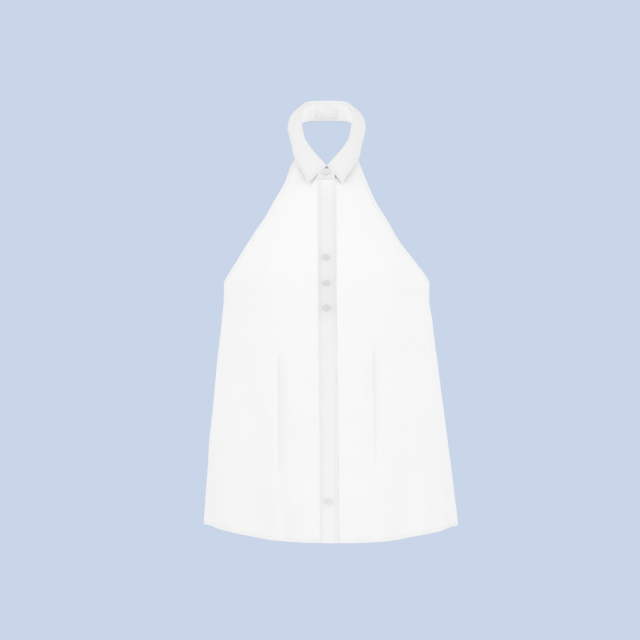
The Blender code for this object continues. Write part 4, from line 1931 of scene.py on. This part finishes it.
@dataclass
class Leaf:
    """The folded leaf of the collar, over the fold line and down to its free edge."""

    node: str
    size: SheetSize
    wall: float = 1.05
    start: float = 0.07
    columns: int = 190
    falls: int = 15
    end_share: float = 0.35
    rounding: float = 0.4
    stitch_inset: float = 5.0
    foot_share: float = 0.9
    inner_share: float = 0.55
    roll_angles: tuple[float, ...] = (0.0, 30.0, 60.0, 90.0, 120.0, 150.0, 180.0)
    point_stitches: tuple[float, float] = (0.45, 0.86)
    seam_tuck: float = 1.2

    def grid(self) -> ClothGrid:
        """Works out the leaf's sheet, on its middle surface.

        Returns:
            The sheet.
        """
        collar = FORM.collar
        edge = 0.5 * (1.0 - np.cos(np.linspace(0.0, np.pi, self.columns)))
        share = mix(np.linspace(0.0, 1.0, self.columns), edge, self.end_share)
        place = mix(2 * NAPE - self.start, self.start, share)
        foot, fold = collar.point("foot", place), collar.point("fold", place)
        base = mix(foot, fold, self.foot_share) - unit(fold - foot) * self.seam_tuck
        rows = [base, mix(base, fold, self.inner_share)]
        rows += [collar.leaf_roll(place, np.full_like(place, angle))
                 for angle in self.roll_angles]
        rows += [collar.leaf_fall(place, np.full_like(place, at))
                 for at in np.linspace(0.0, 1.0, self.falls + 1)[1:]]
        return ClothGrid.over(np.stack(rows))

    def build(self, room: Workroom) -> None:
        """Makes the leaf with the stitches along its free edges.

        Args:
            room: The finishes.
        """
        grid = self.grid()
        flipped = grid.points.swapaxes(0, 1)[:, ::-1]
        inset = row_arcs(flipped)[:, ::-1].T
        sides = row_arcs(grid.points)
        inset = np.minimum(inset, np.minimum(sides, sides[:, -1:] - sides))
        grid.edge = np.minimum(inset / self.stitch_inset * STITCH_SHARE, grid.edge_far)
        face = grid.moved_out(self.wall / 2)
        shut = self.stitch_inset / row_arcs(grid.points)[-1, -1]
        rows = [StitchRow(*face.line(Edge.FOOT, self.stitch_inset, 2 * shut, 1.0 - 2 * shut))]
        rows += [StitchRow(*face.line(edge, self.stitch_inset, *self.point_stitches))
                 for edge in (Edge.LEFT, Edge.RIGHT)]
        Panel(self.node, self.size, "collar_poplin", wall=self.wall, offset=0.0,
              rounding=self.rounding).make(grid, rows, room.collar, room.thread)


@dataclass
class Label:
    """A small bare woven label inside the stand at the nape."""

    node: str
    size: SheetSize
    width: float = 38.4
    height: float = 24.0
    foot: float = 4.5
    lift: float = 1.05
    bow: float = 0.35
    wall: float = 0.3
    face_share: float = 0.2
    columns: int = 25
    rows: int = 17
    stitch_inset: float = 1.4
    stitch_pitch: float = 2.4
    stitch_length: float = 1.7

    def grid(self) -> ClothGrid:
        """Works out the label's sheet on the stand's inner face.

        Returns:
            The sheet.
        """
        collar = FORM.collar
        half = find(lambda p: np.abs(collar.point("foot", NAPE - p)[..., 0] - collar.axis),
                    np.array([self.width / 2]), 0.0, 2.0)[0]
        tall = float(np.linalg.norm(collar.point("fold", np.array([NAPE]))
                                    - collar.point("foot", np.array([NAPE]))))
        place = np.linspace(NAPE + half, NAPE - half, self.columns)[None, :]
        share = np.linspace((self.foot + self.height) / tall, self.foot / tall,
                            self.rows)[:, None]
        place, share = np.broadcast_arrays(place, share)
        grid = ClothGrid.over(collar.stand(place, share))
        bow = np.sin(np.pi * (place - NAPE + half) / (2 * half)) * self.bow
        return grid.moved_out(-self.lift - bow)

    def build(self, room: Workroom) -> None:
        """Makes the label with its stitches at the top and the foot.

        Args:
            room: The finishes.
        """
        grid = self.grid()
        face = grid.moved_out(-self.wall * self.face_share)
        face.normals = -face.normals
        rows = [StitchRow(*face.line(edge, self.stitch_inset), pitch=self.stitch_pitch,
                          length=self.stitch_length) for edge in (Edge.TOP, Edge.FOOT)]
        Panel(self.node, self.size, "label_weave", wall=self.wall, offset=1.0).make(
            grid, rows, room.label, room.thread)


@dataclass
class Button:
    """A four-hole resin button, sewn on with two bars of thread."""

    node: str
    seat: Array
    outward: Array
    upward: Array
    lift: float = 0.3
    radius: float = 4.9
    height: float = 2.4
    rim: float = 1.0
    dish: float = 0.5
    hole: float = 0.65
    pitch: float = 2.3
    sides: int = 48
    small_sides: int = 16
    sharp_from: float = 38.0
    strand: float = 0.22
    strand_size: tuple[float, float] = (0.2, 0.3)
    strand_past: float = 0.35
    strand_lift: float = 0.08
    shank: tuple[float, float, float, float] = (1.5, 1.3, 0.9, -0.2)
    # Whether the button takes the lighter resin, which is painted light
    pale: bool = False

    def frame_at(self) -> Matrix:
        """The button's place: its back on the seat, its face along the way out.

        Returns:
            The place, in metres.
        """
        out = unit(self.outward)
        aside = unit(np.cross(self.upward, out))
        place = np.eye(4)
        for column, way in enumerate((aside, np.cross(out, aside), out)):
            place[:3, column] = way
        place[:3, 3] = (self.seat + out * self.lift) * MM
        return Matrix(place.tolist())

    def turned(self) -> bmesh.types.BMesh:
        """Turns the button's outline about its axis.

        Returns:
            The form, closed at its axis.
        """
        tall, rim, wide = self.height, self.rim, self.radius
        outline = (
            (0.0, tall - self.dish), (wide - 2.3 * rim, tall - self.dish),
            (wide - 1.6 * rim, tall - 0.6 * self.dish), (wide - 1.1 * rim, tall - 0.06),
            (wide - 0.75 * rim, tall), (wide - 0.4 * rim, tall - 0.05),
            (wide - 0.12 * rim, tall - 0.3), (wide, tall - 0.7), (wide, 0.75 * rim),
            (wide - 0.3 * rim, 0.3), (wide - rim, 0.0), (0.0, 0.0))
        form = bmesh.new()
        verts = [form.verts.new((x * MM, 0.0, z * MM)) for x, z in outline]
        edges = [form.edges.new(pair) for pair in zip(verts, verts[1:])]
        bmesh.ops.spin(form, geom=verts + edges, cent=(0, 0, 0), axis=(0, 0, 1), dvec=(0, 0, 0),
                       angle=2 * math.pi, steps=self.sides, use_merge=True)
        bmesh.ops.remove_doubles(form, verts=form.verts, dist=0.00001)
        bmesh.ops.recalc_face_normals(form, faces=form.faces)
        return form

    def pierced(self, form: bmesh.types.BMesh) -> bpy.types.Mesh:
        """Cuts the four holes.

        Args:
            form: The turned button, which is freed.

        Returns:
            The button's mesh.
        """
        cutter = bmesh.new()
        for x in (-0.5, 0.5):
            for y in (-0.5, 0.5):
                place = Matrix.Translation(Vector((x, y, 0.0)) * self.pitch * MM)
                bmesh.ops.create_cone(cutter, cap_ends=True, segments=self.small_sides,
                                      radius1=self.hole * MM, radius2=self.hole * MM,
                                      depth=3 * self.height * MM, matrix=place)
        made = []
        for name, shape in (("button_blank", form), ("button_drill", cutter)):
            made.append(placed(name, mesh_of(shape, name)))
        cut = made[0].modifiers.new("holes", "BOOLEAN")
        cut.object, cut.operation = made[1], "DIFFERENCE"
        bpy.context.view_layer.update()
        whole = made[0].evaluated_get(bpy.context.evaluated_depsgraph_get())
        mesh = bpy.data.meshes.new_from_object(whole)
        for item in made:
            bpy.data.objects.remove(item, do_unlink=True)
        return mesh

    def thread(self) -> bpy.types.Mesh:
        """Two bars of thread over the face and the shank under it.

        Returns:
            The thread's mesh.
        """
        form = bmesh.new()
        bar_rise = self.height - self.dish
        wide, tall = self.strand_size
        for x in (-0.5, 0.5):
            for strand in (-self.strand, 0.0, self.strand):
                size = Matrix.Diagonal((wide * MM, (self.pitch * 0.5 + self.strand_past) * MM,
                                        tall * MM, 1.0))
                place = Matrix.Translation(
                    Vector((x * self.pitch + strand, 0.0, bar_rise + self.strand_lift)) * MM)
                bmesh.ops.create_icosphere(form, subdivisions=2, radius=1.0, matrix=place @ size)
        low, high, depth, drop = self.shank
        shank = Matrix.Translation(Vector((0.0, 0.0, drop)) * MM)
        bmesh.ops.create_cone(form, cap_ends=True, segments=self.small_sides, radius1=low * MM,
                              radius2=high * MM, depth=depth * MM, matrix=shank)
        return mesh_of(form, "thread")

    def build(self, room: Workroom) -> None:
        """Makes the button and its thread in place.

        Args:
            room: The finishes.
        """
        mesh, thread = self.pierced(self.turned()), self.thread()
        for each in (mesh, thread):
            each.transform(self.frame_at())
            each.shade_smooth()
        mesh.set_sharp_from_angle(angle=math.radians(self.sharp_from))
        resin = room.pale_resin if self.pale else room.resin
        piece = new_object(self.node + "_resin", mesh, resin)
        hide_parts(self.node)
        new_object(self.node + "_thread", thread, room.thread)
        LOG.info("%s made", piece.name)


@dataclass
class ButtonLine:
    """All the buttons: one on the stand, three on the chest and one near the hem."""

    shift: float = -1.5
    drops: tuple[float, ...] = (239.0, 281.5, 322.5, 639.5)
    # Buttons below this level take the lighter resin, painted light
    painted_light_below: float = 600.0
    rise: float = 1.5
    stand_share: float = 0.42
    stand_top: float = 0.9
    stand_lift: float = 1.25
    reach_along: float = 0.05
    reach_down: float = 5.0
    reach_round: float = 2.0

    def build(self, room: Workroom) -> None:
        """Makes every button where its node is.

        Args:
            room: The finishes.
        """
        collar = FORM.collar
        tab, foot = np.array([-self.shift / COLLAR[1].foot_out]), np.array([0.0])
        low, high = collar.stand(tab, foot), collar.stand(tab, np.array([self.stand_top]))
        along = (collar.stand(tab - self.reach_along, foot)
                 - collar.stand(tab + self.reach_along, foot))
        out = unit(np.cross(low - high, along))[0]
        seat = collar.stand(tab, np.array([self.stand_share]))[0] + out * self.stand_lift
        # The stand's button takes the lighter resin, painted light
        Button("button_stand", seat, out, (high - low)[0], pale=True).build(room)
        for number, drop in enumerate(self.drops, 1):
            level = np.array([drop])
            turn = -FORM.turn_of(np.array([-self.shift]), level, np.array([-1.0]))
            down = (FORM.point(turn, level + self.reach_down)
                    - FORM.point(turn, level - self.reach_down))[0]
            along = (FORM.point(turn + self.reach_round, level)
                     - FORM.point(turn - self.reach_round, level))[0]
            out = unit(np.cross(down, along))
            seat = FORM.point(turn, level)[0] + out * self.rise
            Button(f"button_{number}", seat, out, -down, pale=drop > self.painted_light_below).build(room)


@dataclass
class Studio:
    """A pale floor, soft light and the camera at the photograph's angle."""

    camera_at: tuple[float, float, float] = (-0.0136, -4.5, -0.3426)
    view_width: float = 1.088
    sensor: float = 36.0
    floor_drop: float = 1.72
    floor_radius: float = 3.0
    floor_sides: int = 96
    floor_tones: tuple[tuple[float, float, float], ...] = (
        (0.66, 0.675, 0.70), (0.70, 0.712, 0.735))
    floor_roughness: float = 0.9
    backdrop: tuple[float, float, float] = (0.585, 0.665, 0.815)
    ambient: float = 0.84
    lamps_at: tuple[float, float, float] = (0.0, 0.0, -0.36)
    lamps: tuple[tuple[tuple[float, float, float], float, float], ...] = (
        ((-3.5, -2.5, 0.8), 1.4, 32.0),
        ((3.4, -2.6, 0.1), 2.0, 31.0),
        ((0.4, 3.6, 1.0), 2.4, 26.0),
    )

    def camera(self) -> None:
        """Sets the camera level with the shirt's middle."""
        data = bpy.data.cameras.new("camera")
        data.sensor_width = self.sensor
        data.lens = self.sensor * -self.camera_at[1] / self.view_width
        data.clip_end = 50.0
        camera = placed("camera", data)
        camera.location = self.camera_at
        camera.rotation_euler = (math.radians(90.0), 0.0, 0.0)
        bpy.context.scene.camera = camera

    def light(self) -> None:
        """Lights the room softly, with the key from the viewer's upper left."""
        target = Vector(self.lamps_at)
        for number, (place, size, power) in enumerate(self.lamps, 1):
            data = bpy.data.lights.new(f"softbox_{number}", "AREA")
            data.shape, data.size, data.energy = "SQUARE", size, power
            lamp = placed(f"softbox_{number}", data)
            lamp.location = place
            lamp.rotation_euler = (target - Vector(place)).to_track_quat("-Z", "Y").to_euler()

    def room(self) -> None:
        """Gives the room its pale backdrop, which lights the shirt a plain white."""
        world = bpy.data.worlds.new("room")
        world.use_nodes = True
        tree = world.node_tree
        tree.nodes.clear()
        seen, lit = (tree.nodes.new("ShaderNodeBackground") for _ in range(2))
        seen.inputs[0].default_value = (*self.backdrop, 1.0)
        lit.inputs[0].default_value = (1.0, 1.0, 1.0, 1.0)
        lit.inputs[1].default_value = self.ambient
        path, choice = tree.nodes.new("ShaderNodeLightPath"), tree.nodes.new("ShaderNodeMixShader")
        output = tree.nodes.new("ShaderNodeOutputWorld")
        tree.links.new(path.outputs["Is Camera Ray"], choice.inputs[0])
        tree.links.new(lit.outputs[0], choice.inputs[1])
        tree.links.new(seen.outputs[0], choice.inputs[2])
        tree.links.new(choice.outputs[0], output.inputs["Surface"])
        bpy.context.scene.world = world
        bpy.context.scene.view_settings.view_transform = "Standard"

    def floor(self) -> None:
        """Lays the pale floor well below the hem."""
        form = bmesh.new()
        bmesh.ops.create_circle(form, cap_ends=True, segments=self.floor_sides,
                                radius=self.floor_radius,
                                matrix=Matrix.Translation((0.0, 0.0, -self.floor_drop)))
        mesh = mesh_of(form, "floor")
        floor = placed("floor", mesh)
        board = ShaderBoard("floor")
        place = board.node("TexCoord").outputs["Object"]
        colour = board.blend(*self.floor_tones, 0.5 + board.noise(place, 1.5, 2.0))
        mesh.materials.append(board.finish(
            board.node("BsdfPrincipled", Base_Color=colour, Roughness=self.floor_roughness)))

    def build(self) -> None:
        """Sets up the camera, the lights, the room and the floor."""
        self.camera()
        self.light()
        self.room()
        self.floor()


def main() -> None:
    """Builds the shirt's pieces in order and sets up the studio."""
    logging.basicConfig(level=logging.INFO, format="%(name)s: %(message)s")
    room = Workroom.stocked()
    Studio().build()
    pieces = (
        Front(Side.LEFT, "front_right", SheetSize(0.305, 0.732, 0.65)),
        Front(Side.RIGHT, "front_left", SheetSize(0.325, 0.736, 0.65)),
        Band("placket_under", SheetSize(0.029, 0.613, 1.0), -1.5, False, top_gap=2.0),
        Band("placket_top", SheetSize(0.029, 0.616, 1.0), 1.5, True,
             buttonholes=(239.0, 281.5, 322.5, 639.5)),
        Back("back", SheetSize(0.607, 0.435, 0.86)),
        Stand("collar_stand", SheetSize(0.481, 0.035, 0.68)),
        Leaf("collar_leaf", SheetSize(0.484, 0.062, 0.64)),
        Label("neck_label", SheetSize(0.0384, 0.024, 1.0)),
        ButtonLine(),
    )
    for piece in pieces:
        piece.build(room)


if __name__ == "__main__":
    main()
